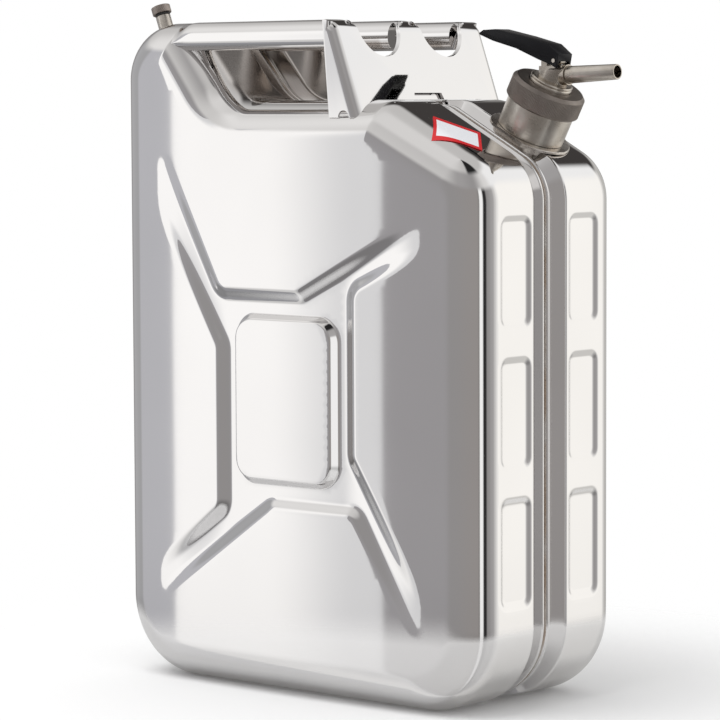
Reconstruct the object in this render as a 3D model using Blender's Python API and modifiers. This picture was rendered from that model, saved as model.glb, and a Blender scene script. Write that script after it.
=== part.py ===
"""Stainless steel safety can with three carrying bars and a self-closing tap.

Metres, +Z up. The can's broad faces look along -Y (front) and +Y (rear), and the tap
pours towards +X. Places are measured from the middle of the can's bottom, and one
empty shifts the whole can so that the origin is below the middle of its box.
"""
import math

import bmesh
import bpy
from mathutils import Matrix, Vector
from mathutils.geometry import delaunay_2d_cdt, intersect_point_line

# Can body
CAN_WIDTH = 0.345
CAN_DEPTH = 0.168
CAN_HEIGHT = 0.486
SHEET = 0.0012
BOTTOM_CORNER_RADIUS = 0.060
HUMP_LEFT_RADIUS = 0.042
HUMP_RIGHT_RADIUS = 0.014
SHOULDER_RADIUS = 0.040
EDGE_ROUNDING = 0.028
FACE_CROWN = 0.005
CROWN_FADE = 0.045

# Recess below the carrying bars, and the sloping deck
RECESS_DEPTH = 0.057
RECESS_FOOT_X = -0.064
RECESS_SLOPE = math.radians(50)
RECESS_FOOT_RADIUS = 0.040
DECK_START_X = 0.0835
DECK_SLOPE = math.radians(28)
DECK_START_RADIUS = 0.025

# Seam channel, its two rolled lips, and the weld in the valley between them
CHANNEL_HALF_WIDTH = 0.018
CHANNEL_FLOOR_HALF_WIDTH = 0.012
CHANNEL_DEPTH = 0.010
LIP_DEPTH = 0.0035
LIP_FOOT_Y = 0.0060
LIP_OUTER_Y = 0.0042
LIP_INNER_Y = 0.0022
LIP_EDGE_Y = 0.00075
LIP_EDGE_DEPTH = 0.0065
WELD_RADIUS = 0.0011
WELD_DEPTH = 0.0048

# Pressed X on the broad faces: four panels stand round a sunken X
PRESS_DEPTH = 0.0045
PRESS_WALL = 0.0075
PRESS_CORNER_RADIUS = 0.012
PRESS_END_MARGIN = 0.006
PRESS_FADE = 0.030
PANEL_INNER_X = 0.0635
END_PANEL_LONG_X = 0.065
END_PANEL_SHORT_X = 0.014
END_PANEL_GAP = 0.0145
SIDE_PANEL_HEIGHT = 0.1185
SIDE_PANEL_SHIFT = 0.02225
STEEP_ARM_BELOW_TOP = (0.071, 0.124)
SHALLOW_ARM_BELOW_SHOULDER = (0.0307, 0.0547)
SHALLOW_ARM_FOOT = (0.082, 0.058)
STEEP_ARM_FOOT = (0.070, 0.046)
STEEP_ARM_CORNER = 0.008

# Plaque in the middle of the X
PLAQUE_WIDTH = 0.100
PLAQUE_HEIGHT = 0.124
PLAQUE_DROP = 0.0285
PLAQUE_RISE = 0.0065
PLAQUE_WALL = 0.009
PLAQUE_RADIUS = 0.019

# Recessed pads on the narrow sides
PAD_COUNT = 3
PAD_ABOVE_CORNER = 0.0146
PAD_BELOW_SHOULDER = 0.0086
PAD_GAP = 0.0188
PAD_MARGIN = 0.002
PAD_WALL = 0.002
PAD_DEPTH = 0.003

# Carrying bars
BAR_SPACING = 0.069
BAR_WIDTH = 0.024
BAR_HEIGHT = 0.0205
BAR_TOP_RADIUS = 0.009
BAR_BOTTOM_RADIUS = 0.005
BAR_WALL = 0.0015
BAR_OVERLAP = 0.020
BAR_MERGE_START = 0.012

# Bracket that holds the bars' right ends
BRACKET_LEFT_X = 0.034
BRACKET_TOP_X = 0.0425
BRACKET_FOOT_X = 0.0675
BRACKET_WIDTH = 0.166
BRACKET_DROP = 0.069
BRACKET_SHEET = 0.0015
BRACKET_BEND = 0.007
BRACKET_TOP_BEND = 0.008
SCALLOP_DEPTH = 0.026
DRAIN_RADIUS = 0.005
DRAIN_INSET = 0.014
SEAM_NOTCH_WIDTH = 0.040
SEAM_NOTCH_HEIGHT = 0.005

# Neck, standing square to the deck on the rear half, just behind the seam
NECK_INSET = 0.0415
NECK_Y = 0.029
COLLAR_STAND = 0.0022
COLLAR_FLANGE_RADIUS = 0.0305
COLLAR_FLANGE_HEIGHT = 0.0018
COLLAR_FRONT_Y = 0.0049
COLLAR_DEPTH = 0.018
COLLAR_WALL = 0.0012
NECK_RADIUS = 0.0245
NECK_WALL = 0.002
NECK_TOP = 0.027
ARRESTER_RADIUS = 0.0215
ARRESTER_WALL = 0.0008
ARRESTER_LENGTH = 0.090
ARRESTER_SLOT_WIDTH = 0.006
ARRESTER_SLOT_LENGTH = 0.045

# Union nut
NUT_RADIUS = 0.0272
NUT_BOTTOM = 0.0229
NUT_HEIGHT = 0.0155
NUT_CHAMFER = 0.0022

# Tap
NECK_SEAL_HEIGHT = 0.002
NECK_SEAL_WIDTH = 0.0055
TAP_FLANGE_HEIGHT = 0.0042
TAP_RING_RADIUS = 0.0157
TAP_RING_HEIGHT = 0.0040
RING_GROOVE = 0.0008
HOUSING_RADIUS = 0.0112
HOUSING_HEIGHT = 0.0075
POST_HEIGHT = 0.0107
POST_WIDTH = 0.0104
POST_LENGTH = 0.0200
PORT_RADIUS = 0.005
CHAMBER_RADIUS = 0.0085
SEAT_HEIGHT = 0.004
CHAMBER_HEIGHT = 0.0089

# Outlet tube
TUBE_HEIGHT = 0.0452
TUBE_REACH = 0.0560
TUBE_RISE = math.radians(2.5)
TUBE_ROOT_RADIUS = 0.0062
TUBE_MOUTH_RADIUS = 0.0054
TUBE_BORE_RADIUS = 0.0044
TUBE_START = 0.0105
BOSS_LENGTH = 0.0135
BOSS_WALL = 0.0008
PASSAGE_RADIUS = 0.0036

# Self-closing valve
STEM_RADIUS = 0.002
DISC_RADIUS = 0.0072
DISC_HEIGHT = 0.0016
VALVE_SEAL_HEIGHT = 0.0012
SPRING_INNER_RADIUS = 0.0054
SPRING_OUTER_RADIUS = 0.0066
STEM_SEAL_RADIUS = 0.0031
STEM_SEAL_HEIGHT = 0.0009

# Lever and its pin
PIN_HEIGHT = 0.0572
PIN_RADIUS = 0.0015
EYE_WIDTH = 0.005
EYE_RADIUS = 0.0028
LEVER_WIDTH = 0.016
LEVER_CHEEK = 0.0022
LEVER_ROOF = 0.0026
LEVER_REACH = 0.0675
LEVER_RISE = 0.0213
LEVER_HEEL = 0.0045
LEVER_HEEL_LOW = (0.0025, -0.0056)
LEVER_BACK = (-0.0048, 0.0117)
LEVER_BEND = (-0.0270, 0.0174)
LEVER_BELLY = ((-0.0336, 0.0090), (-0.0137, 0.0010), (-0.0020, -0.0030))
LEVER_PAD_START = (0.0150, 0.0016)
LEVER_PAD_END = (0.0040, 0.0012)
LEVER_TIP_DROP = 0.0010
LEVER_TIP_LOW = (0.0010, 0.0022)
LEVER_PAD_LOW = (0.0130, 0.0067)
LEVER_PAD_SOLID = 0.0105
LEVER_SLOT_TOP = -0.0006
LEVER_SLOT_ROOF = 0.0036
FULCRUM_REACH = 0.0105
FULCRUM_LENGTH = 0.005
FULCRUM_OVERHANG = 0.0005

# Bleed vent on the left shoulder
VENT_INSET = 0.0195
VENT_Y = -0.0475
VENT_TILT = math.radians(21)
VENT_SOCKET_RADIUS = 0.0056
VENT_SOCKET_LENGTH = 0.0195
VENT_BURIED = 0.006
VENT_BORE_RADIUS = 0.0027
VENT_SEAL_HEIGHT = 0.0012
VENT_CAP_RADIUS = 0.0072
VENT_CAP_HEIGHT = 0.0058
VENT_SCREW_LENGTH = 0.009

# Blank sticker, a square that stands on its corner on the front half of the deck
STICKER_SIDE = 0.0355
STICKER_INSET = 0.0447
STICKER_Y = -0.0475
STICKER_SHEET = 0.0003

# Clearances, the least radius of a rounded corner, and how much of a side its two
# roundings may take
SEAT_GAP = 0.0003
RUNNING_GAP = 0.0004
LEAST_RADIUS = 0.002
ROUNDING_SHARE = 0.95

# Fineness of the curves
TURN_STEPS = 32
ROUNDING_STEPS = 5
ARC_STEPS = 5
LATTICE = 0.036

MODEL_COLLECTION = "safety_can"
CUTTER_COLLECTION = "cutters"

# Sizes that follow from the ones above
HALF_WIDTH = CAN_WIDTH / 2
HALF_DEPTH = CAN_DEPTH / 2
ROUNDING_START_Y = HALF_DEPTH - EDGE_ROUNDING
RECESS_FLOOR_Z = CAN_HEIGHT - RECESS_DEPTH
SHOULDER_Z = RECESS_FLOOR_Z - (HALF_WIDTH - DECK_START_X) * math.tan(DECK_SLOPE)
PLAQUE_CENTRE_Z = CAN_HEIGHT / 2 - PLAQUE_DROP
TOP_PANEL_Z = PLAQUE_CENTRE_Z + PLAQUE_HEIGHT / 2 + END_PANEL_GAP
BOTTOM_PANEL_Z = PLAQUE_CENTRE_Z - PLAQUE_HEIGHT / 2 - END_PANEL_GAP
SIDE_PANEL_LOW_Z = PLAQUE_CENTRE_Z - SIDE_PANEL_HEIGHT / 2 - SIDE_PANEL_SHIFT
PAD_FIRST_Z = BOTTOM_CORNER_RADIUS + PAD_ABOVE_CORNER
PAD_LAST_Z = (SHOULDER_Z - SHOULDER_RADIUS * math.tan(math.pi / 4 - DECK_SLOPE / 2)
              - PAD_BELOW_SHOULDER)
PAD_PITCH = (PAD_LAST_Z - PAD_FIRST_Z + PAD_GAP) / PAD_COUNT
PAD_HEIGHT = PAD_PITCH - PAD_GAP
BAR_MID_Z = CAN_HEIGHT - BAR_HEIGHT / 2
HUMP_RIGHT_X = RECESS_FOOT_X - RECESS_DEPTH / math.tan(RECESS_SLOPE)
BRACKET_FOOT_Z = CAN_HEIGHT - BRACKET_DROP
COLLAR_BORE = ARRESTER_RADIUS + RUNNING_GAP
COLLAR_RADIUS = COLLAR_BORE + COLLAR_WALL
FLANGE_RADIUS = NECK_RADIUS - RUNNING_GAP
NUT_TOP = NUT_BOTTOM + NUT_HEIGHT
ARRESTER_TOP = NECK_TOP + SEAT_GAP + ARRESTER_WALL
NECK_SEAL_TOP = ARRESTER_TOP + SEAT_GAP + NECK_SEAL_HEIGHT
TAP_BOTTOM = NECK_SEAL_TOP + SEAT_GAP
TAP_FLANGE_TOP = TAP_BOTTOM + TAP_FLANGE_HEIGHT
TAP_RING_TOP = NUT_TOP + TAP_RING_HEIGHT
SEAT_TOP = TAP_BOTTOM + SEAT_HEIGHT
CHAMBER_TOP = SEAT_TOP + CHAMBER_HEIGHT
VALVE_SEAL_TOP = SEAT_TOP + SEAT_GAP + VALVE_SEAL_HEIGHT
DISC_TOP = VALVE_SEAL_TOP + SEAT_GAP + DISC_HEIGHT
POST_TOP = TAP_RING_TOP + POST_HEIGHT
STEM_SEAL_TOP = POST_TOP - SEAT_GAP
VENT_SEAL_TOP = VENT_SOCKET_LENGTH - VENT_BURIED + SEAT_GAP + VENT_SEAL_HEIGHT


def deck_z(x):
    """Height of the deck's plane at a place along X."""
    return RECESS_FLOOR_Z - (x - DECK_START_X) * math.tan(DECK_SLOPE)


def spun(x, z, angle):
    """Turn a vector of the XZ plane round Y."""
    return Matrix.Rotation(angle, 3, "Y") @ Vector((x, 0.0, z))


NECK_AXIS = spun(0.0, 1.0, DECK_SLOPE)
NECK_BASE = (Vector((HALF_WIDTH - NECK_INSET, NECK_Y, deck_z(HALF_WIDTH - NECK_INSET)))
             + NECK_AXIS * COLLAR_STAND)
NECK_PLACE = Matrix.Translation(NECK_BASE) @ Matrix.Rotation(DECK_SLOPE, 4, "Y")
PIN_PLACE = NECK_BASE + NECK_AXIS * PIN_HEIGHT
TUBE_PLACE = (Matrix.Translation(NECK_BASE + NECK_AXIS * TUBE_HEIGHT)
              @ Matrix.Rotation(math.pi / 2 - TUBE_RISE, 4, "Y"))


def clear_scene():
    """Remove the objects of the open scene."""
    for obj in list(bpy.data.objects):
        bpy.data.objects.remove(obj, do_unlink=True)


def collection(name):
    """Return the named collection, linked to the scene."""
    found = bpy.data.collections.get(name)
    if found is None:
        found = bpy.data.collections.new(name)
        bpy.context.scene.collection.children.link(found)
    return found


def material(name, colour, roughness, metallic):
    """Make one Principled material."""
    made = bpy.data.materials.new(name)
    made.use_nodes = True
    shader = made.node_tree.nodes["Principled BSDF"]
    shader.inputs["Base Color"].default_value = (*colour, 1.0)
    shader.inputs["Roughness"].default_value = roughness
    shader.inputs["Metallic"].default_value = metallic
    made.diffuse_color = (*colour, 1.0)
    return made


def add_piece(name, mesh, look=None):
    """Link a mesh to the model as a named piece."""
    obj = bpy.data.objects.new(name, mesh)
    collection(MODEL_COLLECTION).objects.link(obj)
    if look is not None:
        mesh.materials.append(look)
    return obj


def add_cutter(name, mesh, place=None):
    """Link a mesh as a cutter, left out of the render."""
    obj = bpy.data.objects.new(name, mesh)
    collection(CUTTER_COLLECTION).objects.link(obj)
    obj.hide_render = True
    obj.display_type = "WIRE"
    if place is not None:
        obj.matrix_world = place
    return obj


def add_empty(name, place, parent=None):
    """Link an empty that carries pieces."""
    made = bpy.data.objects.new(name, None)
    collection(MODEL_COLLECTION).objects.link(made)
    made.parent = parent
    made.matrix_basis = place
    return made


def mesh_from(bm, name):
    """Turn a closed bmesh into a mesh whose faces point outwards."""
    bmesh.ops.recalc_face_normals(bm, faces=bm.faces)
    mesh = bpy.data.meshes.new(name)
    bm.to_mesh(mesh)
    bm.free()
    return mesh


def smooth(obj, angle=math.radians(35)):
    """Shade smooth, with an edge where faces turn by more than the angle."""
    obj.data.shade_smooth()
    obj.data.set_sharp_from_angle(angle=angle)
    return obj


def applied(obj):
    """Turn an object's modifiers into its mesh, and weld it."""
    graph = bpy.context.evaluated_depsgraph_get()
    graph.update()
    mesh = bpy.data.meshes.new_from_object(obj.evaluated_get(graph))
    bm = bmesh.new()
    bm.from_mesh(mesh)
    bmesh.ops.remove_doubles(bm, verts=bm.verts, dist=0.00001)
    bm.to_mesh(mesh)
    bm.free()
    obj.modifiers.clear()
    obj.data = mesh
    return obj


def boolean(obj, cutter, operation="DIFFERENCE"):
    """Cut a piece with a cutter, or join the two."""
    modifier = obj.modifiers.new(operation.lower(), "BOOLEAN")
    modifier.operation = operation
    modifier.object = cutter
    return applied(obj)


def loose_bodies(bm):
    """The separate bodies of a bmesh, as sets of points, smallest first."""
    left = set(bm.verts)
    bodies = []
    while left:
        body = set()
        queue = [left.pop()]
        while queue:
            vert = queue.pop()
            body.add(vert)
            for edge in vert.link_edges:
                other = edge.other_vert(vert)
                if other in left:
                    left.discard(other)
                    queue.append(other)
        bodies.append(body)
    return sorted(bodies, key=len)


def keep_largest(obj):
    """Delete the slivers that a cut left beside the main body."""
    bm = bmesh.new()
    bm.from_mesh(obj.data)
    spare = [vert for body in loose_bodies(bm)[:-1] for vert in body]
    bmesh.ops.delete(bm, geom=spare, context="VERTS")
    bm.to_mesh(obj.data)
    bm.free()
    return obj


def box_mesh(name, low, high):
    """A box between two corners."""
    low, high = Vector(low), Vector(high)
    bm = bmesh.new()
    bmesh.ops.create_cube(bm, size=1.0)
    bmesh.ops.scale(bm, vec=high - low, verts=bm.verts)
    bmesh.ops.translate(bm, vec=(low + high) / 2, verts=bm.verts)
    return mesh_from(bm, name)


def rod_mesh(name, radius, low, high, steps=TURN_STEPS, end_radius=None):
    """A rod along local Z between two heights."""
    bm = bmesh.new()
    bmesh.ops.create_cone(bm, cap_ends=True, segments=steps, radius1=radius,
                          radius2=end_radius or radius, depth=high - low)
    bmesh.ops.translate(bm, vec=(0, 0, (low + high) / 2), verts=bm.verts)
    return mesh_from(bm, name)


def prism_mesh(name, outline, low, high):
    """Extrude an outline of (x, z) points between two places on Y."""
    bm = bmesh.new()
    face = bm.faces.new([bm.verts.new((x, low, z)) for x, z in outline])
    swept = bmesh.ops.extrude_face_region(bm, geom=[face])
    moved = [item for item in swept["geom"] if isinstance(item, bmesh.types.BMVert)]
    bmesh.ops.translate(bm, vec=(0, high - low, 0), verts=moved)
    return mesh_from(bm, name)


def turned(name, profile, look, steps=TURN_STEPS):
    """Turn (radius, height) points, down the outer side first, round local Z.

    A profile that starts on the axis also ends there; any other is a closed loop.
    """
    count = len(profile)
    sides = count - 1 if profile[0][0] == 0.0 else count
    mesh = bpy.data.meshes.new(name)
    edges = [(i, (i + 1) % count) for i in range(sides)]
    mesh.from_pydata([(radius, 0.0, height) for radius, height in profile], edges, [])
    obj = add_piece(name, mesh, look)
    screw = obj.modifiers.new("turn", "SCREW")
    screw.angle = math.tau
    screw.steps = steps
    screw.render_steps = steps
    screw.use_merge_vertices = True
    screw.merge_threshold = 0.00001
    applied(obj)
    return smooth(obj)


def rounded_outline(corners, inset=0.0, stations=None, steps=ARC_STEPS):
    """Move a counter-clockwise polygon inwards and round its corners.

    corners holds (x, z, radius). With the inset a convex corner's radius shrinks and a
    concave one's grows. stations gives, for the side after a corner, heights at which
    that upright side gets points of its own.
    """
    count = len(corners)
    sides = []
    for i in range(count):
        start = Vector(corners[i][:2])
        along = (Vector(corners[(i + 1) % count][:2]) - start).normalized()
        sides.append((start + Vector((-along.y, along.x)) * inset, along))
    vertices = []
    turns = []
    for (before, came), (after, goes) in zip(sides[-1:] + sides[:-1], sides):
        bend = came.x * goes.y - came.y * goes.x
        gap = after - before
        vertices.append(before + came * ((gap.x * goes.y - gap.y * goes.x) / bend))
        turns.append(math.atan2(bend, came.dot(goes)))
    outline = []
    for i, (vertex, turn) in enumerate(zip(vertices, turns)):
        hand = math.copysign(1.0, turn)
        radius = max(corners[i][2] - inset * hand, LEAST_RADIUS)
        came = sides[i - 1][1]
        share = math.tan(abs(turn) / 2)
        for other in (i - 1, (i + 1) % count):
            side = (vertices[other] - vertex).length
            room = ROUNDING_SHARE * side / (share + math.tan(abs(turns[other]) / 2))
            radius = min(radius, room)
        start = vertex - came * radius * share
        centre = start + Vector((-came.y, came.x)) * radius * hand
        for step in range(steps + 1):
            arm = Matrix.Rotation(turn * step / steps, 2) @ (start - centre)
            outline.append(tuple(centre + arm))
        if stations and i in stations:
            outline.extend((vertex.x, z) for z in stations[i])
    return outline


def pad_heights():
    """Heights of the pads' borders on the narrow sides, going up."""
    heights = []
    for index in range(PAD_COUNT):
        low = PAD_FIRST_Z + index * PAD_PITCH
        heights += [low - PAD_MARGIN, low + PAD_HEIGHT + PAD_MARGIN]
    return heights


def can_outline(inset=0.0):
    """The can's front outline, moved inwards, always with the same number of points."""
    corners = [
        (-HALF_WIDTH, 0.0, BOTTOM_CORNER_RADIUS),
        (HALF_WIDTH, 0.0, BOTTOM_CORNER_RADIUS),
        (HALF_WIDTH, deck_z(HALF_WIDTH), SHOULDER_RADIUS),
        (DECK_START_X, RECESS_FLOOR_Z, DECK_START_RADIUS),
        (RECESS_FOOT_X, RECESS_FLOOR_Z, RECESS_FOOT_RADIUS),
        (HUMP_RIGHT_X, CAN_HEIGHT, HUMP_RIGHT_RADIUS),
        (-HALF_WIDTH, CAN_HEIGHT, HUMP_LEFT_RADIUS),
    ]
    stations = {1: pad_heights(), 6: pad_heights()[::-1]}
    return rounded_outline(corners, inset, stations)


def press_corners():
    """The rim of the sunken X, counter-clockwise from its lower left arm."""
    corner = PRESS_CORNER_RADIUS
    tip = PRESS_WALL + LEAST_RADIUS
    reach = HALF_WIDTH - EDGE_ROUNDING - PRESS_END_MARGIN
    left_low = SIDE_PANEL_LOW_Z
    right_low = SIDE_PANEL_LOW_Z + 2 * SIDE_PANEL_SHIFT
    return [
        (-reach, SHALLOW_ARM_FOOT[1], tip),
        (-END_PANEL_SHORT_X, BOTTOM_PANEL_Z, corner),
        (END_PANEL_LONG_X, BOTTOM_PANEL_Z, corner),
        (reach - STEEP_ARM_CORNER, STEEP_ARM_FOOT[1], tip),
        (reach, STEEP_ARM_FOOT[0], tip),
        (PANEL_INNER_X, right_low, corner),
        (PANEL_INNER_X, right_low + SIDE_PANEL_HEIGHT, corner),
        (reach, SHOULDER_Z - SHALLOW_ARM_BELOW_SHOULDER[1], tip),
        (reach, SHOULDER_Z - SHALLOW_ARM_BELOW_SHOULDER[0], tip),
        (END_PANEL_SHORT_X, TOP_PANEL_Z, corner),
        (-END_PANEL_LONG_X, TOP_PANEL_Z, corner),
        (-reach, CAN_HEIGHT - STEEP_ARM_BELOW_TOP[0], tip),
        (-reach, CAN_HEIGHT - STEEP_ARM_BELOW_TOP[1], tip),
        (-PANEL_INNER_X, left_low + SIDE_PANEL_HEIGHT, corner),
        (-PANEL_INNER_X, left_low, corner),
        (-reach, SHALLOW_ARM_FOOT[0], tip),
    ]


def plaque_outline(margin):
    """The plaque's outline, drawn in by a margin."""
    half_x = PLAQUE_WIDTH / 2
    half_z = PLAQUE_HEIGHT / 2
    corners = [
        (-half_x, PLAQUE_CENTRE_Z - half_z, PLAQUE_RADIUS),
        (half_x, PLAQUE_CENTRE_Z - half_z, PLAQUE_RADIUS),
        (half_x, PLAQUE_CENTRE_Z + half_z, PLAQUE_RADIUS),
        (-half_x, PLAQUE_CENTRE_Z + half_z, PLAQUE_RADIUS),
    ]
    return rounded_outline(corners, margin, steps=3)


def distance_to(outline, point):
    """Shortest distance from a point to a closed outline."""
    place = Vector(point)
    best = math.inf
    for i, start in enumerate(outline):
        start, end = Vector(start), Vector(outline[(i + 1) % len(outline)])
        _, share = intersect_point_line(place, start, end)
        nearest = start.lerp(end, max(0.0, min(1.0, share)))
        best = min(best, (place - nearest).length)
    return best


def is_inside(outline, point):
    """Whether a point lies inside a closed outline."""
    x, z = point
    odd = False
    for i, (x1, z1) in enumerate(outline):
        x2, z2 = outline[(i + 1) % len(outline)]
        if (z1 > z) != (z2 > z) and x < x1 + (z - z1) * (x2 - x1) / (z2 - z1):
            odd = not odd
    return odd


def face_heights():
    """Functions that give a broad face's height: crowned, sunken, and on the plaque."""
    border = can_outline(EDGE_ROUNDING)
    half_face = HALF_WIDTH - EDGE_ROUNDING

    def crown(point):
        across = 1 - (point[0] / half_face) ** 2
        near = min(1.0, distance_to(border, point) / CROWN_FADE)
        return FACE_CROWN * across * (1 - (1 - near) ** 2)

    def sunken(point):
        near = min(1.0, distance_to(border, point) / PRESS_FADE)
        return crown(point) - PRESS_DEPTH * near

    def raised(point):
        return sunken(point) + PLAQUE_RISE

    return crown, sunken, raised


def face_sheet():
    """One broad face as points with heights, triangles, and its border's point count."""
    crown, sunken, raised = face_heights()
    border = can_outline(EDGE_ROUNDING)
    rim = rounded_outline(press_corners(), steps=2)
    foot = rounded_outline(press_corners(), PRESS_WALL, steps=2)
    loops = [
        (border, lambda point: 0.0), (rim, crown), (foot, sunken),
        (plaque_outline(0.0), sunken), (plaque_outline(PLAQUE_WALL), raised),
    ]
    places = []
    heights = []
    edges = []
    for loop, height in loops:
        first = len(places)
        count = len(loop)
        edges += [(first + i, first + (i + 1) % count) for i in range(count)]
        places += loop
        heights += [height(point) for point in loop]
    columns = round(CAN_WIDTH / LATTICE)
    rows = round(CAN_HEIGHT / LATTICE)
    for column in range(columns):
        for row in range(rows):
            point = ((column + 0.5) * CAN_WIDTH / columns - HALF_WIDTH,
                     (row + 0.5) * CAN_HEIGHT / rows)
            room = min(distance_to(loop, point) for loop, _ in loops)
            if room < LATTICE * 0.3 or not is_inside(border, point):
                continue
            inner = [height for loop, height in loops[1:] if is_inside(loop, point)]
            if len(inner) == 1 or len(inner) == 3:
                continue
            height = inner[-1] if inner else crown
            places.append(point)
            heights.append(height(point))
    flat = [Vector(point) for point in places]
    verts, _, triangles, _, _, _ = delaunay_2d_cdt(flat, edges, [], 0, 0.000001)
    if len(verts) != len(places):
        raise RuntimeError("the pressed lines of the broad face cross each other")
    kept = []
    for triangle in triangles:
        middle = sum((flat[i] for i in triangle), Vector((0.0, 0.0))) / 3
        if is_inside(border, middle):
            kept.append(triangle)
    return list(zip(places, heights)), kept, len(border)


def wall_profile(growth=0.0):
    """The edge rounding's section: (inset from the outline, distance from the seam)."""
    profile = []
    for step in range(ROUNDING_STEPS + 1):
        angle = math.pi / 2 * step / ROUNDING_STEPS
        reach = EDGE_ROUNDING + growth
        profile.append((EDGE_ROUNDING - reach * math.cos(angle),
                        ROUNDING_START_Y + reach * math.sin(angle)))
    return profile


def join_rings(bm, lower, upper):
    """Faces between two rings of points."""
    made = []
    for i in range(len(lower)):
        j = (i + 1) % len(lower)
        made.append(bm.faces.new((lower[i], lower[j], upper[j], upper[i])))
    return made


def shell(name, side, look):
    """One pressed half of the can; side is -1 for the front and 1 for the rear."""
    bm = bmesh.new()
    points, triangles, border_count = face_sheet()
    channel = [
        (LIP_EDGE_DEPTH, LIP_EDGE_Y), (LIP_DEPTH, LIP_INNER_Y), (LIP_DEPTH, LIP_OUTER_Y),
        (CHANNEL_DEPTH, LIP_FOOT_Y), (CHANNEL_DEPTH, CHANNEL_FLOOR_HALF_WIDTH),
        (0.0, CHANNEL_HALF_WIDTH),
    ]
    rings = []
    for inset, depth in channel + wall_profile()[:-1]:
        rings.append([bm.verts.new((x, side * depth, z)) for x, z in can_outline(inset)])
    sheet = [bm.verts.new((x, side * (HALF_DEPTH + height), z)) for (x, z), height in points]
    rings.append(sheet[:border_count])
    walls = [join_rings(bm, lower, upper) for lower, upper in zip(rings, rings[1:])]
    for triangle in triangles:
        bm.faces.new([sheet[i] for i in triangle])
    bmesh.ops.recalc_face_normals(bm, faces=bm.faces)
    flat_wall = walls[len(channel) - 1]
    bm.normal_update()
    if sum(face.normal.dot(face.calc_center_median()) for face in flat_wall) < 0:
        bmesh.ops.reverse_faces(bm, faces=bm.faces)
    lows = pad_heights()[::2]
    pads = []
    for face in flat_wall:
        heights = sorted(vert.co.z for vert in face.verts)
        upright = abs(face.normal.x) > 0.99
        if upright and min(abs(heights[0] - low) for low in lows) < SEAT_GAP:
            pads.append(face)
    bmesh.ops.inset_individual(bm, faces=pads, thickness=PAD_MARGIN)
    bmesh.ops.inset_individual(bm, faces=pads, thickness=PAD_WALL, depth=-PAD_DEPTH)
    mesh = bpy.data.meshes.new(name)
    bm.to_mesh(mesh)
    bm.free()
    obj = add_piece(name, mesh, look)
    wall = obj.modifiers.new("sheet", "SOLIDIFY")
    wall.thickness = SHEET
    wall.offset = -1.0
    wall.use_even_offset = True
    applied(obj)
    if side > 0:
        hole = rod_mesh("neck_hole", COLLAR_RADIUS + SEAT_GAP, -COLLAR_DEPTH, NECK_TOP)
        boolean(obj, add_cutter("neck_hole", hole, NECK_PLACE))
    else:
        hole = rod_mesh("vent_hole", VENT_SOCKET_RADIUS + SEAT_GAP, -VENT_BURIED * 2,
                        VENT_BURIED * 2, steps=20)
        boolean(obj, add_cutter("vent_hole", hole, vent_place()))
    return smooth(obj)


def can_blank():
    """The plain can, grown by the gap that what rests on it keeps."""
    bm = bmesh.new()
    near_side = wall_profile(SEAT_GAP)
    section = [(inset, -depth) for inset, depth in reversed(near_side)] + near_side
    rings = []
    for inset, depth in section:
        rings.append([bm.verts.new((x, depth, z)) for x, z in can_outline(inset)])
    for lower, upper in zip(rings, rings[1:]):
        join_rings(bm, lower, upper)
    bm.faces.new(rings[0])
    bm.faces.new(rings[-1])
    return add_cutter("can_blank", mesh_from(bm, "can_blank"))


def seam_weld(look):
    """The weld bead that runs all the way round between the two lips."""
    outline = can_outline(WELD_DEPTH)
    curve = bpy.data.curves.new("seam_weld_bead", "CURVE")
    curve.dimensions = "3D"
    curve.bevel_depth = WELD_RADIUS
    curve.bevel_resolution = 1
    spline = curve.splines.new("POLY")
    spline.points.add(len(outline) - 1)
    for point, (x, z) in zip(spline.points, outline):
        point.co = (x, 0.0, z, 1.0)
    spline.use_cyclic_u = True
    path = bpy.data.objects.new("weld_path", curve)
    collection(CUTTER_COLLECTION).objects.link(path)
    graph = bpy.context.evaluated_depsgraph_get()
    bm = bmesh.new()
    bm.from_mesh(bpy.data.meshes.new_from_object(path.evaluated_get(graph)))
    bpy.data.objects.remove(path)
    bmesh.ops.remove_doubles(bm, verts=bm.verts, dist=0.00001)
    return smooth(add_piece("seam_weld_bead", mesh_from(bm, "seam_weld_bead"), look))


def merged_section(section, y, inset=0.0):
    """A bar's section, kept below the rounding of the can's edge by an inset."""
    kept = []
    for across, up in section:
        over = min(max(0.0, abs(y + across) - ROUNDING_START_Y), EDGE_ROUNDING)
        drop = EDGE_ROUNDING - math.sqrt(EDGE_ROUNDING ** 2 - over ** 2) + inset
        kept.append((across, min(up, BAR_HEIGHT / 2 - drop)))
    return kept


def handle_bar(name, y, look, blank):
    """One carrying bar: a pressed tube from the hump to the bracket."""
    half = BAR_WIDTH / 2
    rise = BAR_HEIGHT / 2
    corners = [
        (-half, -rise, BAR_BOTTOM_RADIUS), (half, -rise, BAR_BOTTOM_RADIUS),
        (half, rise, BAR_TOP_RADIUS), (-half, rise, BAR_TOP_RADIUS),
    ]
    outer = rounded_outline(corners, steps=4)
    inner = rounded_outline(corners, BAR_WALL, steps=4)
    left = HUMP_RIGHT_X - BAR_OVERLAP
    full = HUMP_RIGHT_X + BAR_MERGE_START
    right = BRACKET_LEFT_X - SEAT_GAP
    low_outer = merged_section(outer, y)
    low_inner = merged_section(inner, y, BAR_WALL)
    bm = bmesh.new()
    rings = []
    for section, x in ((low_outer, left), (outer, full), (outer, right), (inner, right),
                       (inner, full), (low_inner, left)):
        rings.append([bm.verts.new((x, y + across, BAR_MID_Z + up)) for across, up in section])
    for ring, following in zip(rings, rings[1:] + rings[:1]):
        join_rings(bm, ring, following)
    obj = add_piece(name, mesh_from(bm, name), look)
    boolean(obj, blank)
    return smooth(keep_largest(obj))


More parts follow.
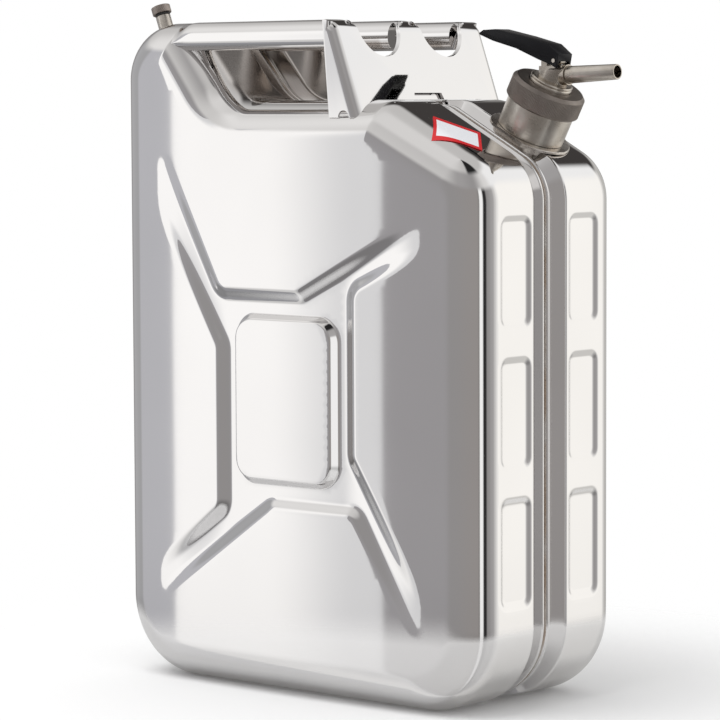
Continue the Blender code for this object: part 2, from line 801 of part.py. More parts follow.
def bracket_path():
    """The bracket's side view, from its foot up its sloping face to its top left end."""
    foot = Vector((BRACKET_FOOT_X, BRACKET_FOOT_Z))
    top = Vector((BRACKET_TOP_X, CAN_HEIGHT))
    up = (top - foot).normalized()
    turn = math.acos(up.dot(Vector((-1.0, 0.0))))
    start = top - up * BRACKET_TOP_BEND * math.tan(turn / 2)
    centre = start + Vector((-up.y, up.x)) * BRACKET_TOP_BEND
    path = [foot]
    for step in range(ARC_STEPS):
        arm = Matrix.Rotation(turn * step / (ARC_STEPS - 1), 2) @ (start - centre)
        path.append(centre + arm)
    path.append(Vector((BRACKET_LEFT_X, CAN_HEIGHT)))
    return path


def handle_bracket(look, blank):
    """The folded sheet: a sloping face with two scallops, and a flange at each end."""
    half = BRACKET_WIDTH / 2
    path = bracket_path()
    bm = bmesh.new()
    front = [bm.verts.new((x, -half, z)) for x, z in path]
    rear = [bm.verts.new((x, half, z)) for x, z in path]
    for side, y in ((front, -half), (rear, half)):
        bm.faces.new(side + [bm.verts.new((BRACKET_LEFT_X, y, BRACKET_FOOT_Z))])
    for i in range(len(path) - 1):
        bm.faces.new((front[i], front[i + 1], rear[i + 1], rear[i]))
    bmesh.ops.recalc_face_normals(bm, faces=bm.faces)
    bm.normal_update()
    if sum(face.normal.x for face in bm.faces) < 0:
        bmesh.ops.reverse_faces(bm, faces=bm.faces)
    folds = [edge for edge in bm.edges if len(edge.link_faces) == 2
             and abs(edge.verts[0].co.y - edge.verts[1].co.y) < SEAT_GAP]
    bmesh.ops.bevel(bm, geom=folds, offset=BRACKET_BEND, segments=3, profile=0.5,
                    affect="EDGES", clamp_overlap=True)
    mesh = bpy.data.meshes.new("handle_bracket")
    bm.to_mesh(mesh)
    bm.free()
    obj = add_piece("handle_bracket", mesh, look)
    wall = obj.modifiers.new("sheet", "SOLIDIFY")
    wall.thickness = BRACKET_SHEET
    wall.offset = -1.0
    wall.use_even_offset = True
    applied(obj)
    for cutter in [blank] + bracket_cutters():
        boolean(obj, cutter)
    return smooth(keep_largest(obj))


def scallop_half():
    """Half of a scallop's outline, from its bottom up and out over the bar's rounded top."""
    flare = BAR_TOP_RADIUS
    reach = (BAR_SPACING - BAR_WIDTH) / 2 + flare
    drop = SCALLOP_DEPTH - flare
    radius = (reach ** 2 + drop ** 2 - flare ** 2) / (2 * SCALLOP_DEPTH)
    lean = math.atan2(radius - drop, reach)
    centre_z = CAN_HEIGHT - SCALLOP_DEPTH + radius
    outline = []
    steps = TURN_STEPS // 4
    for step in range(steps + 1):
        angle = (math.pi / 2 - lean) * step / steps
        outline.append((radius * math.sin(angle), centre_z - radius * math.cos(angle)))
    for step in range(1, ARC_STEPS + 1):
        angle = lean + (math.pi / 2 - lean) * step / ARC_STEPS
        outline.append((reach - flare * math.cos(angle),
                        CAN_HEIGHT - flare + flare * math.sin(angle)))
    outline.append((reach, CAN_HEIGHT + flare))
    return outline


def bracket_cutters():
    """Two flared scallops, a drain arch in each flange, and the notch over the seam."""
    low_x = BRACKET_LEFT_X - BAR_WIDTH
    high_x = BRACKET_FOOT_X + BAR_WIDTH
    half = scallop_half()
    cutters = []
    for middle in (-BAR_SPACING / 2, BAR_SPACING / 2):
        outline = [(middle + across, z) for across, z in half]
        outline += [(middle - across, z) for across, z in reversed(half[1:])]
        mesh = prism_mesh("scallop", outline, -high_x, -low_x)
        mesh.transform(Matrix.Rotation(math.pi / 2, 4, "Z"))
        cutters.append(add_cutter("scallop", mesh))
    drain = rod_mesh("drain", DRAIN_RADIUS, -CAN_DEPTH, CAN_DEPTH, steps=16)
    place = Matrix.Translation((BRACKET_FOOT_X - DRAIN_INSET, 0, BRACKET_FOOT_Z))
    cutters.append(add_cutter("drain", drain, place @ Matrix.Rotation(math.pi / 2, 4, "X")))
    foot = SEAM_NOTCH_WIDTH / 2
    top = foot - SEAM_NOTCH_HEIGHT
    outline = [
        (-foot, BRACKET_FOOT_Z), (foot, BRACKET_FOOT_Z), (foot, RECESS_FLOOR_Z),
        (top, RECESS_FLOOR_Z + SEAM_NOTCH_HEIGHT), (-top, RECESS_FLOOR_Z + SEAM_NOTCH_HEIGHT),
        (-foot, RECESS_FLOOR_Z),
    ]
    mesh = prism_mesh("seam_notch", outline, -high_x, -low_x)
    mesh.transform(Matrix.Rotation(math.pi / 2, 4, "Z"))
    cutters.append(add_cutter("seam_notch", mesh))
    return cutters


def neck_pieces(looks):
    """The collar, the neck and the flame arrester that hangs in it."""
    soft = COLLAR_FLANGE_HEIGHT * 0.4
    collar = turned("neck_collar", [
        (COLLAR_BORE, 0.0), (COLLAR_FLANGE_RADIUS - soft, 0.0), (COLLAR_FLANGE_RADIUS, -soft),
        (COLLAR_FLANGE_RADIUS, -COLLAR_FLANGE_HEIGHT), (COLLAR_RADIUS, -COLLAR_FLANGE_HEIGHT),
        (COLLAR_RADIUS, -COLLAR_DEPTH), (COLLAR_BORE, -COLLAR_DEPTH),
    ], looks["steel"])
    front = box_mesh("collar_front", (-NECK_TOP * 2, -NECK_TOP * 2, -COLLAR_FLANGE_HEIGHT),
                     (NECK_TOP * 2, COLLAR_FRONT_Y - NECK_Y, COLLAR_FLANGE_HEIGHT))
    boolean(collar, add_cutter("collar_front", front))
    bore = NECK_RADIUS - NECK_WALL
    chamfer = NECK_WALL * 0.3
    neck = turned("filler_neck", [
        (bore, NECK_TOP), (NECK_RADIUS - chamfer, NECK_TOP), (NECK_RADIUS, NECK_TOP - chamfer),
        (NECK_RADIUS, SEAT_GAP), (bore, SEAT_GAP),
    ], looks["satin"])
    inside = ARRESTER_RADIUS - ARRESTER_WALL
    under = ARRESTER_TOP - ARRESTER_WALL
    floor = ARRESTER_TOP - ARRESTER_LENGTH
    arrester = turned("flame_arrester", [
        (0.0, floor + ARRESTER_WALL), (inside, floor + ARRESTER_WALL), (inside, ARRESTER_TOP),
        (FLANGE_RADIUS, ARRESTER_TOP), (FLANGE_RADIUS, under), (ARRESTER_RADIUS, under),
        (ARRESTER_RADIUS, floor), (0.0, floor),
    ], looks["mesh"], steps=24)
    low = floor + ARRESTER_WALL + ARRESTER_SLOT_WIDTH
    for index in range(3):
        mesh = box_mesh("slot", (-NECK_RADIUS, -ARRESTER_SLOT_WIDTH / 2, low),
                        (NECK_RADIUS, ARRESTER_SLOT_WIDTH / 2, low + ARRESTER_SLOT_LENGTH))
        mesh.transform(Matrix.Rotation(math.pi * index / 3, 4, "Z"))
        boolean(arrester, add_cutter("slot", mesh))
    return [smooth(collar), neck, smooth(arrester)]


def union_nut(look):
    """The nut that draws the tap's flange down on the neck."""
    bore = NECK_RADIUS + RUNNING_GAP
    web = TAP_FLANGE_TOP + RUNNING_GAP
    eye = TAP_RING_RADIUS + RUNNING_GAP
    chamfer = NUT_CHAMFER
    return turned("union_nut", [
        (eye, NUT_TOP), (NUT_RADIUS - chamfer, NUT_TOP), (NUT_RADIUS, NUT_TOP - chamfer),
        (NUT_RADIUS, NUT_BOTTOM + chamfer / 2), (NUT_RADIUS - chamfer / 2, NUT_BOTTOM),
        (bore, NUT_BOTTOM), (bore, web), (eye, web),
    ], look, steps=40)


def neck_seal(look):
    """The flat ring between the neck and the tap."""
    inner = FLANGE_RADIUS - NECK_SEAL_WIDTH
    low = NECK_SEAL_TOP - NECK_SEAL_HEIGHT
    return turned("neck_seal", [
        (inner, NECK_SEAL_TOP), (FLANGE_RADIUS, NECK_SEAL_TOP), (FLANGE_RADIUS, low),
        (inner, low),
    ], look)


def into_neck_axes(mesh):
    """Bring a mesh made in the can's axes into the neck's axes."""
    mesh.transform(NECK_PLACE.inverted())
    return mesh


def lever_outline():
    """Side view of the lever, counter-clockwise from its lower heel, from the pin."""
    tip_x = -LEVER_REACH
    tip_z = LEVER_RISE
    return [
        LEVER_HEEL_LOW, (LEVER_HEEL, LEVER_HEEL), LEVER_BACK, LEVER_BEND,
        (tip_x + LEVER_PAD_START[0], tip_z + LEVER_PAD_START[1]),
        (tip_x + LEVER_PAD_END[0], tip_z + LEVER_PAD_END[1]),
        (tip_x, tip_z - LEVER_TIP_DROP), (tip_x + LEVER_TIP_LOW[0], tip_z - LEVER_TIP_LOW[1]),
        (tip_x + LEVER_PAD_LOW[0], tip_z - LEVER_PAD_LOW[1]), *LEVER_BELLY,
    ]


def lever_hollow():
    """Side view of the hollow below the lever's roof, from the pin."""
    roof = LEVER_ROOF
    tip_x = -LEVER_REACH
    heel = EYE_RADIUS + RUNNING_GAP
    low = -3 * EYE_RADIUS
    solid_x = tip_x + LEVER_PAD_SOLID
    return [
        (LEVER_HEEL + roof, low), (LEVER_HEEL + roof, LEVER_SLOT_TOP),
        (heel, LEVER_SLOT_TOP), (heel, LEVER_SLOT_ROOF),
        (LEVER_BACK[0] - roof * 0.5, LEVER_BACK[1] - roof),
        (LEVER_BEND[0] - roof * 0.2, LEVER_BEND[1] - roof),
        (tip_x + LEVER_PAD_START[0], LEVER_RISE + LEVER_PAD_START[1] - roof),
        (solid_x, LEVER_RISE - roof), (solid_x, low),
    ]


def tap_lever(look):
    """The lever: a channel, open below, that rocks on the post and lifts the stem."""
    half = LEVER_WIDTH / 2
    lever = add_piece("tap_lever", prism_mesh("tap_lever", lever_outline(), -half, half), look)
    edges = lever.modifiers.new("soft_edges", "BEVEL")
    edges.width = LEVER_CHEEK * 0.4
    edges.segments = 2
    edges.limit_method = "ANGLE"
    edges.angle_limit = math.radians(50)
    applied(lever)
    inner = half - LEVER_CHEEK
    hollow = prism_mesh("lever_hollow", lever_hollow(), -inner, inner)
    boolean(lever, add_cutter("lever_hollow", hollow))
    hole = rod_mesh("pin_hole", PIN_RADIUS + SEAT_GAP, -LEVER_WIDTH, LEVER_WIDTH, steps=16)
    across = Matrix.Rotation(math.pi / 2, 4, "X")
    boolean(lever, add_cutter("pin_hole", hole, across))
    return smooth(keep_largest(lever))


def fulcrum_outline():
    """Side view of the horn that the lever's roof rocks on, in the can's axes."""
    left = -FULCRUM_REACH - FULCRUM_LENGTH / 2
    right = left + FULCRUM_LENGTH
    low = -FULCRUM_REACH
    slope = (LEVER_BEND[1] - LEVER_BACK[1]) / (LEVER_BEND[0] - LEVER_BACK[0])

    def below_roof(x):
        roof = LEVER_BACK[1] + (x - LEVER_BACK[0]) * slope
        return roof - LEVER_ROOF - 2 * RUNNING_GAP

    outline = [
        (left, low), (right, low), (right, below_roof(right) - FULCRUM_LENGTH / 4),
        (-FULCRUM_REACH, below_roof(-FULCRUM_REACH)),
        (left, below_roof(left) - FULCRUM_LENGTH / 4),
    ]
    return [(PIN_PLACE.x + x, PIN_PLACE.z + z) for x, z in outline]


def tap_body(look):
    """The tap's body: flange, ring, housing and post, bored for the valve and the tube."""
    hub = TAP_RING_RADIUS
    soft = RING_GROOVE
    middle = TAP_RING_TOP - TAP_RING_HEIGHT / 2
    top = POST_TOP + HOUSING_RADIUS
    body = turned("tap_body", [
        (0.0, top), (HOUSING_RADIUS, top), (HOUSING_RADIUS, TAP_RING_TOP),
        (hub - soft, TAP_RING_TOP), (hub, TAP_RING_TOP - soft), (hub, middle + soft),
        (hub - soft, middle), (hub, middle - soft), (hub, TAP_FLANGE_TOP),
        (FLANGE_RADIUS, TAP_FLANGE_TOP), (FLANGE_RADIUS, TAP_BOTTOM), (0.0, TAP_BOTTOM),
    ], look)
    housing_z = (NECK_BASE + NECK_AXIS * (TAP_RING_TOP + HOUSING_HEIGHT)).z
    post_z = (NECK_BASE + NECK_AXIS * POST_TOP).z
    far = 4 * HOUSING_RADIUS
    left = PIN_PLACE.x - FULCRUM_REACH - FULCRUM_LENGTH
    above = box_mesh("above", (left - far, NECK_Y - far, housing_z),
                     (left + 2 * far, NECK_Y + far, housing_z + far))
    boolean(body, add_cutter("above", into_neck_axes(above)))
    boss_radius = TUBE_ROOT_RADIUS + SEAT_GAP + BOSS_WALL
    boss = rod_mesh("boss", boss_radius, 0.0, BOSS_LENGTH, steps=24)
    boss.transform(TUBE_PLACE)
    near = NECK_Y - POST_WIDTH / 2
    away = NECK_Y + POST_WIDTH / 2
    post = box_mesh("post", (left + FULCRUM_OVERHANG, near, housing_z - HOUSING_HEIGHT / 2),
                    (left + POST_LENGTH, away, post_z))
    horn = prism_mesh("horn", fulcrum_outline(), near, away)
    for mesh in (boss, post, horn):
        boolean(body, add_cutter(mesh.name, into_neck_axes(mesh)), "UNION")
    bores = [
        rod_mesh("port", PORT_RADIUS, TAP_BOTTOM - SEAT_HEIGHT, CHAMBER_TOP, steps=20),
        rod_mesh("chamber", CHAMBER_RADIUS, SEAT_TOP, CHAMBER_TOP, steps=24),
        rod_mesh("stem_bore", STEM_RADIUS + RUNNING_GAP, SEAT_TOP, top, steps=16),
        rod_mesh("seal_seat", STEM_SEAL_RADIUS + SEAT_GAP,
                 STEM_SEAL_TOP - STEM_SEAL_HEIGHT - SEAT_GAP, top, steps=16),
    ]
    passage = rod_mesh("passage", PASSAGE_RADIUS, -PORT_RADIUS, TUBE_REACH, steps=20)
    socket = rod_mesh("socket", TUBE_ROOT_RADIUS + SEAT_GAP, TUBE_START - SEAT_GAP,
                      TUBE_REACH, steps=24)
    for mesh in (passage, socket):
        mesh.transform(TUBE_PLACE)
        bores.append(into_neck_axes(mesh))
    for mesh in bores:
        boolean(body, add_cutter(mesh.name, mesh))
    return smooth(keep_largest(body))


def outlet_tube(look):
    """The pouring tube, which tapers to its mouth."""
    soft = (TUBE_MOUTH_RADIUS - TUBE_BORE_RADIUS) * 0.4
    tube = turned("outlet_tube", [
        (TUBE_BORE_RADIUS, TUBE_REACH), (TUBE_MOUTH_RADIUS - soft, TUBE_REACH),
        (TUBE_MOUTH_RADIUS, TUBE_REACH - soft),
        (TUBE_ROOT_RADIUS, BOSS_LENGTH + BOSS_WALL), (TUBE_ROOT_RADIUS, TUBE_START),
        (TUBE_BORE_RADIUS, TUBE_START),
    ], look, steps=24)
    tube.data.transform(TUBE_PLACE)
    into_neck_axes(tube.data)
    return tube


def valve_pieces(looks):
    """Stem with its disc and eye, soft seal, closing spring and stem seal."""
    disc_low = DISC_TOP - DISC_HEIGHT
    nose = SEAT_TOP + SEAT_GAP
    stem = turned("valve_stem", [
        (0.0, PIN_HEIGHT), (STEM_RADIUS, PIN_HEIGHT), (STEM_RADIUS, DISC_TOP),
        (DISC_RADIUS, DISC_TOP), (DISC_RADIUS, disc_low), (STEM_RADIUS, disc_low),
        (STEM_RADIUS, nose), (0.0, nose),
    ], looks["satin"], steps=20)
    across = Matrix.Translation((0, 0, PIN_HEIGHT)) @ Matrix.Rotation(math.pi / 2, 4, "X")
    eye = rod_mesh("eye", EYE_RADIUS, -EYE_WIDTH / 2, EYE_WIDTH / 2, steps=20)
    boolean(stem, add_cutter("eye", eye, across), "UNION")
    hole = rod_mesh("eye_hole", PIN_RADIUS + SEAT_GAP, -EYE_WIDTH, EYE_WIDTH, steps=16)
    boolean(stem, add_cutter("eye_hole", hole, across))
    bore = STEM_RADIUS + SEAT_GAP
    seal_low = VALVE_SEAL_TOP - VALVE_SEAL_HEIGHT
    seal = turned("valve_seal", [
        (bore, VALVE_SEAL_TOP), (DISC_RADIUS, VALVE_SEAL_TOP), (DISC_RADIUS, seal_low),
        (bore, seal_low),
    ], looks["rubber"], steps=20)
    spring_low = DISC_TOP + SEAT_GAP
    spring_top = CHAMBER_TOP - SEAT_GAP
    spring = turned("valve_spring", [
        (SPRING_INNER_RADIUS, spring_top), (SPRING_OUTER_RADIUS, spring_top),
        (SPRING_OUTER_RADIUS, spring_low), (SPRING_INNER_RADIUS, spring_low),
    ], looks["steel"], steps=20)
    ring_low = STEM_SEAL_TOP - STEM_SEAL_HEIGHT
    ring = turned("stem_seal", [
        (bore, STEM_SEAL_TOP), (STEM_SEAL_RADIUS, STEM_SEAL_TOP), (STEM_SEAL_RADIUS, ring_low),
        (bore, ring_low),
    ], looks["rubber"], steps=20)
    return [smooth(stem), seal, spring, ring]


def lever_pin(look):
    """The pin through the lever's cheeks and the stem's eye."""
    half = LEVER_WIDTH / 2 + SEAT_GAP
    mesh = rod_mesh("lever_pin", PIN_RADIUS, -half, half, steps=16)
    mesh.transform(Matrix.Rotation(math.pi / 2, 4, "X"))
    return smooth(add_piece("lever_pin", mesh, look))


def vent_place():
    """Where the vent stands: local Z points out of the left shoulder."""
    x = VENT_INSET - HALF_WIDTH
    arm = HUMP_LEFT_RADIUS - VENT_INSET
    z = CAN_HEIGHT - HUMP_LEFT_RADIUS + math.sqrt(HUMP_LEFT_RADIUS ** 2 - arm ** 2)
    return Matrix.Translation((x, VENT_Y, z)) @ Matrix.Rotation(-VENT_TILT, 4, "Y")


def vent_pieces(looks):
    """The vent's socket, its washer and its knurled cap."""
    top = VENT_SOCKET_LENGTH - VENT_BURIED
    soft = VENT_SOCKET_RADIUS * 0.1
    socket = turned("vent_socket", [
        (VENT_BORE_RADIUS, top), (VENT_SOCKET_RADIUS - soft, top),
        (VENT_SOCKET_RADIUS, top - soft), (VENT_SOCKET_RADIUS, -VENT_BURIED),
        (VENT_BORE_RADIUS, -VENT_BURIED),
    ], looks["satin"], steps=20)
    seal_low = VENT_SEAL_TOP - VENT_SEAL_HEIGHT
    seal = turned("vent_seal", [
        (VENT_BORE_RADIUS, VENT_SEAL_TOP), (VENT_SOCKET_RADIUS, VENT_SEAL_TOP),
        (VENT_SOCKET_RADIUS, seal_low), (VENT_BORE_RADIUS, seal_low),
    ], looks["rubber"], steps=20)
    low = VENT_SEAL_TOP + SEAT_GAP
    high = low + VENT_CAP_HEIGHT
    stud = VENT_BORE_RADIUS - RUNNING_GAP
    dish = VENT_CAP_RADIUS * 0.7
    cap = turned("vent_cap", [
        (0.0, high - soft), (dish, high - soft), (dish + soft, high),
        (VENT_CAP_RADIUS - soft, high), (VENT_CAP_RADIUS, high - soft),
        (VENT_CAP_RADIUS, low + soft), (VENT_CAP_RADIUS - soft, low), (stud, low),
        (stud, low - VENT_SCREW_LENGTH), (0.0, low - VENT_SCREW_LENGTH),
    ], looks["brass"], steps=24)
    return socket, seal, cap


def blank_sticker(look):
    """The sticker: a thin square on its corner that follows the deck and its rounding."""
    bm = bmesh.new()
    bmesh.ops.create_grid(bm, x_segments=10, y_segments=10, size=STICKER_SIDE / 2)
    bmesh.ops.rotate(bm, matrix=Matrix.Rotation(math.pi / 4, 3, "Z"), verts=bm.verts)
    centre_x = HALF_WIDTH - STICKER_INSET
    for vert in bm.verts:
        along, y = vert.co.x, vert.co.y + STICKER_Y
        over = max(0.0, -y - ROUNDING_START_Y)
        drop = EDGE_ROUNDING - math.sqrt(EDGE_ROUNDING ** 2 - over ** 2)
        place = Vector((centre_x, y, deck_z(centre_x)))
        place += spun(1.0, 0.0, DECK_SLOPE) * along
        place += NECK_AXIS * (SEAT_GAP - drop)
        vert.co = place
    swept = bmesh.ops.extrude_face_region(bm, geom=list(bm.faces))
    moved = [item for item in swept["geom"] if isinstance(item, bmesh.types.BMVert)]
    bmesh.ops.translate(bm, vec=NECK_AXIS * STICKER_SHEET, verts=moved)
    return add_piece("blank_sticker", mesh_from(bm, "blank_sticker"), look)


def make_looks():
    """The materials of the pieces."""
    return {
        "steel": material("polished_steel", (0.78, 0.77, 0.76), 0.14, 1.0),
        "satin": material("satin_steel", (0.60, 0.57, 0.54), 0.32, 1.0),
        "weld": material("weld_metal", (0.48, 0.43, 0.38), 0.40, 1.0),
        "nut": material("dark_nickel", (0.26, 0.23, 0.21), 0.42, 1.0),
        "mesh": material("arrester_steel", (0.50, 0.49, 0.47), 0.45, 1.0),
        "brass": material("vent_metal", (0.55, 0.48, 0.42), 0.38, 1.0),
        "plastic": material("black_plastic", (0.012, 0.012, 0.014), 0.38, 0.0),
        "rubber": material("seal_rubber", (0.03, 0.03, 0.03), 0.70, 0.0),
        "sticker": material("sticker_film", (0.85, 0.83, 0.83), 0.30, 0.0),
    }


def build():
    """Make every piece and hang each on the empty that carries it."""
    clear_scene()
    looks = make_looks()
    blank = can_blank()
    on_can = [
        shell("front_shell", -1, looks["steel"]), shell("rear_shell", 1, looks["steel"]),
        seam_weld(looks["weld"]), blank_sticker(looks["sticker"]),
        handle_bracket(looks["steel"], blank),
    ]
    bars = ("front_handle_bar", -BAR_SPACING), ("middle_handle_bar", 0.0), \
           ("rear_handle_bar", BAR_SPACING)
    on_can += [handle_bar(name, y, looks["steel"], blank) for name, y in bars]
    on_neck = neck_pieces(looks) + valve_pieces(looks)
    on_neck += [
        union_nut(looks["nut"]), neck_seal(looks["rubber"]), tap_body(looks["satin"]),
        outlet_tube(looks["satin"]),
    ]
    on_pin = [tap_lever(looks["plastic"]), lever_pin(looks["satin"])]
    on_vent = vent_pieces(looks)
    mouth_x = (TUBE_PLACE @ Vector((-TUBE_MOUTH_RADIUS, 0.0, TUBE_REACH))).x
    far_x = max(mouth_x, (TUBE_PLACE @ Vector((TUBE_MOUTH_RADIUS, 0.0, TUBE_REACH))).x)
    can = add_empty("can_middle", Matrix.Translation(((HALF_WIDTH - far_x) / 2, 0, 0)))
    carriers = [
        (can, on_can),
        (add_empty("neck_axis", NECK_PLACE, can), on_neck),
        (add_empty("lever_pivot", Matrix.Translation(PIN_PLACE), can), on_pin),
        (add_empty("vent_axis", vent_place(), can), on_vent),
    ]
    for carrier, pieces in carriers:
        for piece in pieces:
            piece.parent = carrier
    bpy.context.view_layer.update()


build()
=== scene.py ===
"""Looks of a polished stainless steel safety can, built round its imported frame.

Metres, +Z up. The broad front looks along -Y and the tap pours towards +X. The script
repeats the can's driving sizes, makes every visible piece finer than the frame has it,
and lights it in a plain studio.
"""
import logging
import math
from contextlib import contextmanager
from dataclasses import dataclass
from enum import Enum
from typing import Any, Callable, Iterator, Sequence

import bpy
import numpy as np
from mathutils import Matrix, Vector
from mathutils.geometry import delaunay_2d_cdt


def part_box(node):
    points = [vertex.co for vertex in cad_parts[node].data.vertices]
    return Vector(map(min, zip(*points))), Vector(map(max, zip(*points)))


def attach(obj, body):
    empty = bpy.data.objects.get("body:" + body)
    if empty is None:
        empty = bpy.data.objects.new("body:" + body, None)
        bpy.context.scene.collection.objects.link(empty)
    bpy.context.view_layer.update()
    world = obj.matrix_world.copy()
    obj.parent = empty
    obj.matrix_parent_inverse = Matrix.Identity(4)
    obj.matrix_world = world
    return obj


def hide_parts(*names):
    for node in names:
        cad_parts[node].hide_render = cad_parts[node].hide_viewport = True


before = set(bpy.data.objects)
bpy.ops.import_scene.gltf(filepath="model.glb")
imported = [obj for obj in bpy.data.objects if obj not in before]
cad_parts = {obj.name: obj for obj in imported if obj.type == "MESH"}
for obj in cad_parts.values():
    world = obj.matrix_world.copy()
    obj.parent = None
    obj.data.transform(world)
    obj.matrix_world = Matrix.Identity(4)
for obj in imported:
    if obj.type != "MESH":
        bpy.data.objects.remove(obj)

LOG = logging.getLogger("safety_can")
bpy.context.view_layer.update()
LEAST_TURN = 0.01

Colour = tuple[float, float, float]
Point = tuple[float, float, float]


class Slot(Enum):
    """The record's material slots."""

    STEEL = "polished_steel"
    WELD = "weld_metal"
    SATIN = "satin_steel"
    NUT = "dark_nickel"
    ARRESTER = "arrester_steel"
    VENT = "vent_metal"
    PLASTIC = "black_plastic"
    RUBBER = "seal_rubber"
    STICKER = "sticker_film"


class Body(Enum):
    """The frame's moving bodies."""

    CAN = "can"
    TAP = "tap"
    NUT = "union_nut"
    STEM = "valve_stem"
    LEVER = "lever"
    VENT_SEAL = "vent_seal"
    VENT_CAP = "vent_cap"


@dataclass(frozen=True)
class CanSizes:
    """Driving sizes of the can, in metres, as the frame has them."""

    width: float = 0.345
    depth: float = 0.168
    height: float = 0.486
    sheet: float = 0.0012
    bottom_radius: float = 0.060
    hump_left_radius: float = 0.042
    hump_right_radius: float = 0.014
    shoulder_radius: float = 0.040
    edge_rounding: float = 0.028
    crown: float = 0.005
    recess_depth: float = 0.057
    recess_foot_x: float = -0.064
    recess_slope: float = math.radians(50)
    recess_radius: float = 0.040
    deck_start_x: float = 0.0835
    deck_slope: float = math.radians(28)
    deck_radius: float = 0.025
    channel_half_width: float = 0.018
    channel_floor: float = 0.012
    channel_depth: float = 0.010
    lip_depth: float = 0.0035
    neck_inset: float = 0.0415
    neck_y: float = 0.029
    collar_stand: float = 0.0022
    seat_gap: float = 0.0003
    least_radius: float = 0.002

    @property
    def half_width(self) -> float:
        """Half of the can's width."""
        return self.width / 2

    @property
    def rounding_start(self) -> float:
        """Distance from the seam at which the edge rounding starts."""
        return self.depth / 2 - self.edge_rounding

    @property
    def recess_floor(self) -> float:
        """Height of the recess below the carrying bars."""
        return self.height - self.recess_depth

    @property
    def middle_x(self) -> float:
        """Where the frame has the can's middle."""
        low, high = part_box("front_shell")
        return (low[0] + high[0]) / 2

    def deck_z(self, x: float) -> float:
        """Height of the deck's plane at a place along X."""
        return self.recess_floor - (x - self.deck_start_x) * math.tan(self.deck_slope)

    @property
    def neck_axis(self) -> Vector:
        """Direction of the neck, square to the deck."""
        return Vector((math.sin(self.deck_slope), 0.0, math.cos(self.deck_slope)))

    @property
    def neck_base(self) -> Vector:
        """Top of the collar's flange on the neck's axis, in the can's own axes."""
        x = self.half_width - self.neck_inset
        return Vector((x, self.neck_y, self.deck_z(x))) + self.neck_axis * self.collar_stand

    @property
    def neck_place(self) -> Matrix:
        """Place of the neck, whose local Z runs along its axis."""
        turn = Matrix.Rotation(self.deck_slope, 4, "Y")
        return Matrix.Translation(self.neck_base) @ turn

    @property
    def to_frame(self) -> Matrix:
        """From the can's own axes into the frame."""
        return Matrix.Translation((self.middle_x, 0.0, 0.0))

    def corners(self) -> list[Point]:
        """The front outline's corners, counter-clockwise, as x, z and radius."""
        half = self.half_width
        hump_x = self.recess_foot_x - self.recess_depth / math.tan(self.recess_slope)
        return [
            (-half, 0.0, self.bottom_radius),
            (half, 0.0, self.bottom_radius),
            (half, self.deck_z(half), self.shoulder_radius),
            (self.deck_start_x, self.recess_floor, self.deck_radius),
            (self.recess_foot_x, self.recess_floor, self.recess_radius),
            (hump_x, self.height, self.hump_right_radius),
            (-half, self.height, self.hump_left_radius),
        ]


CAN = CanSizes()


def turn_between(came: Vector, goes: Vector) -> float:
    """Angle by which a line turns at a corner, counter-clockwise."""
    return math.atan2(came.x * goes.y - came.y * goes.x, came.dot(goes))


def bend(corner: Vector, came: Vector, turn: float, radius: float) -> tuple[Vector, Vector]:
    """Start and centre of the arc that rounds a corner."""
    start = corner - came * radius * math.tan(abs(turn) / 2)
    return start, start + Vector((-came.y, came.x)) * math.copysign(radius, turn)


def arc(start: Vector, centre: Vector, turn: float, steps: int) -> list[Vector]:
    """Points of an arc that starts at a point and turns round a centre."""
    return [centre + Matrix.Rotation(turn * step / steps, 2) @ (start - centre)
            for step in range(steps + 1)]


def softened(profile: Sequence[Point], spacing: float) -> list[tuple[float, float]]:
    """Round the corners of a closed profile.

    Args:
        profile: x, z and rounding of each corner; a rounding of 0 keeps it sharp.
        spacing: Distance between the points of a rounding.

    Returns:
        The points of the rounded profile.
    """
    made: list[tuple[float, float]] = []
    count = len(profile)
    for index, (x, z, radius) in enumerate(profile):
        corner = Vector((x, z))
        came = (corner - Vector(profile[index - 1][:2])).normalized()
        goes = (Vector(profile[(index + 1) % count][:2]) - corner).normalized()
        turn = turn_between(came, goes)
        if radius <= 0.0 or abs(turn) < LEAST_TURN:
            made.append((x, z))
            continue
        steps = max(2, math.ceil(radius * abs(turn) / spacing))
        made += [tuple(point) for point in arc(*bend(corner, came, turn, radius), turn, steps)]
    return made


def meets(value: float, other: float) -> bool:
    """Whether two measures fall together."""
    return abs(value - other) < 0.00001


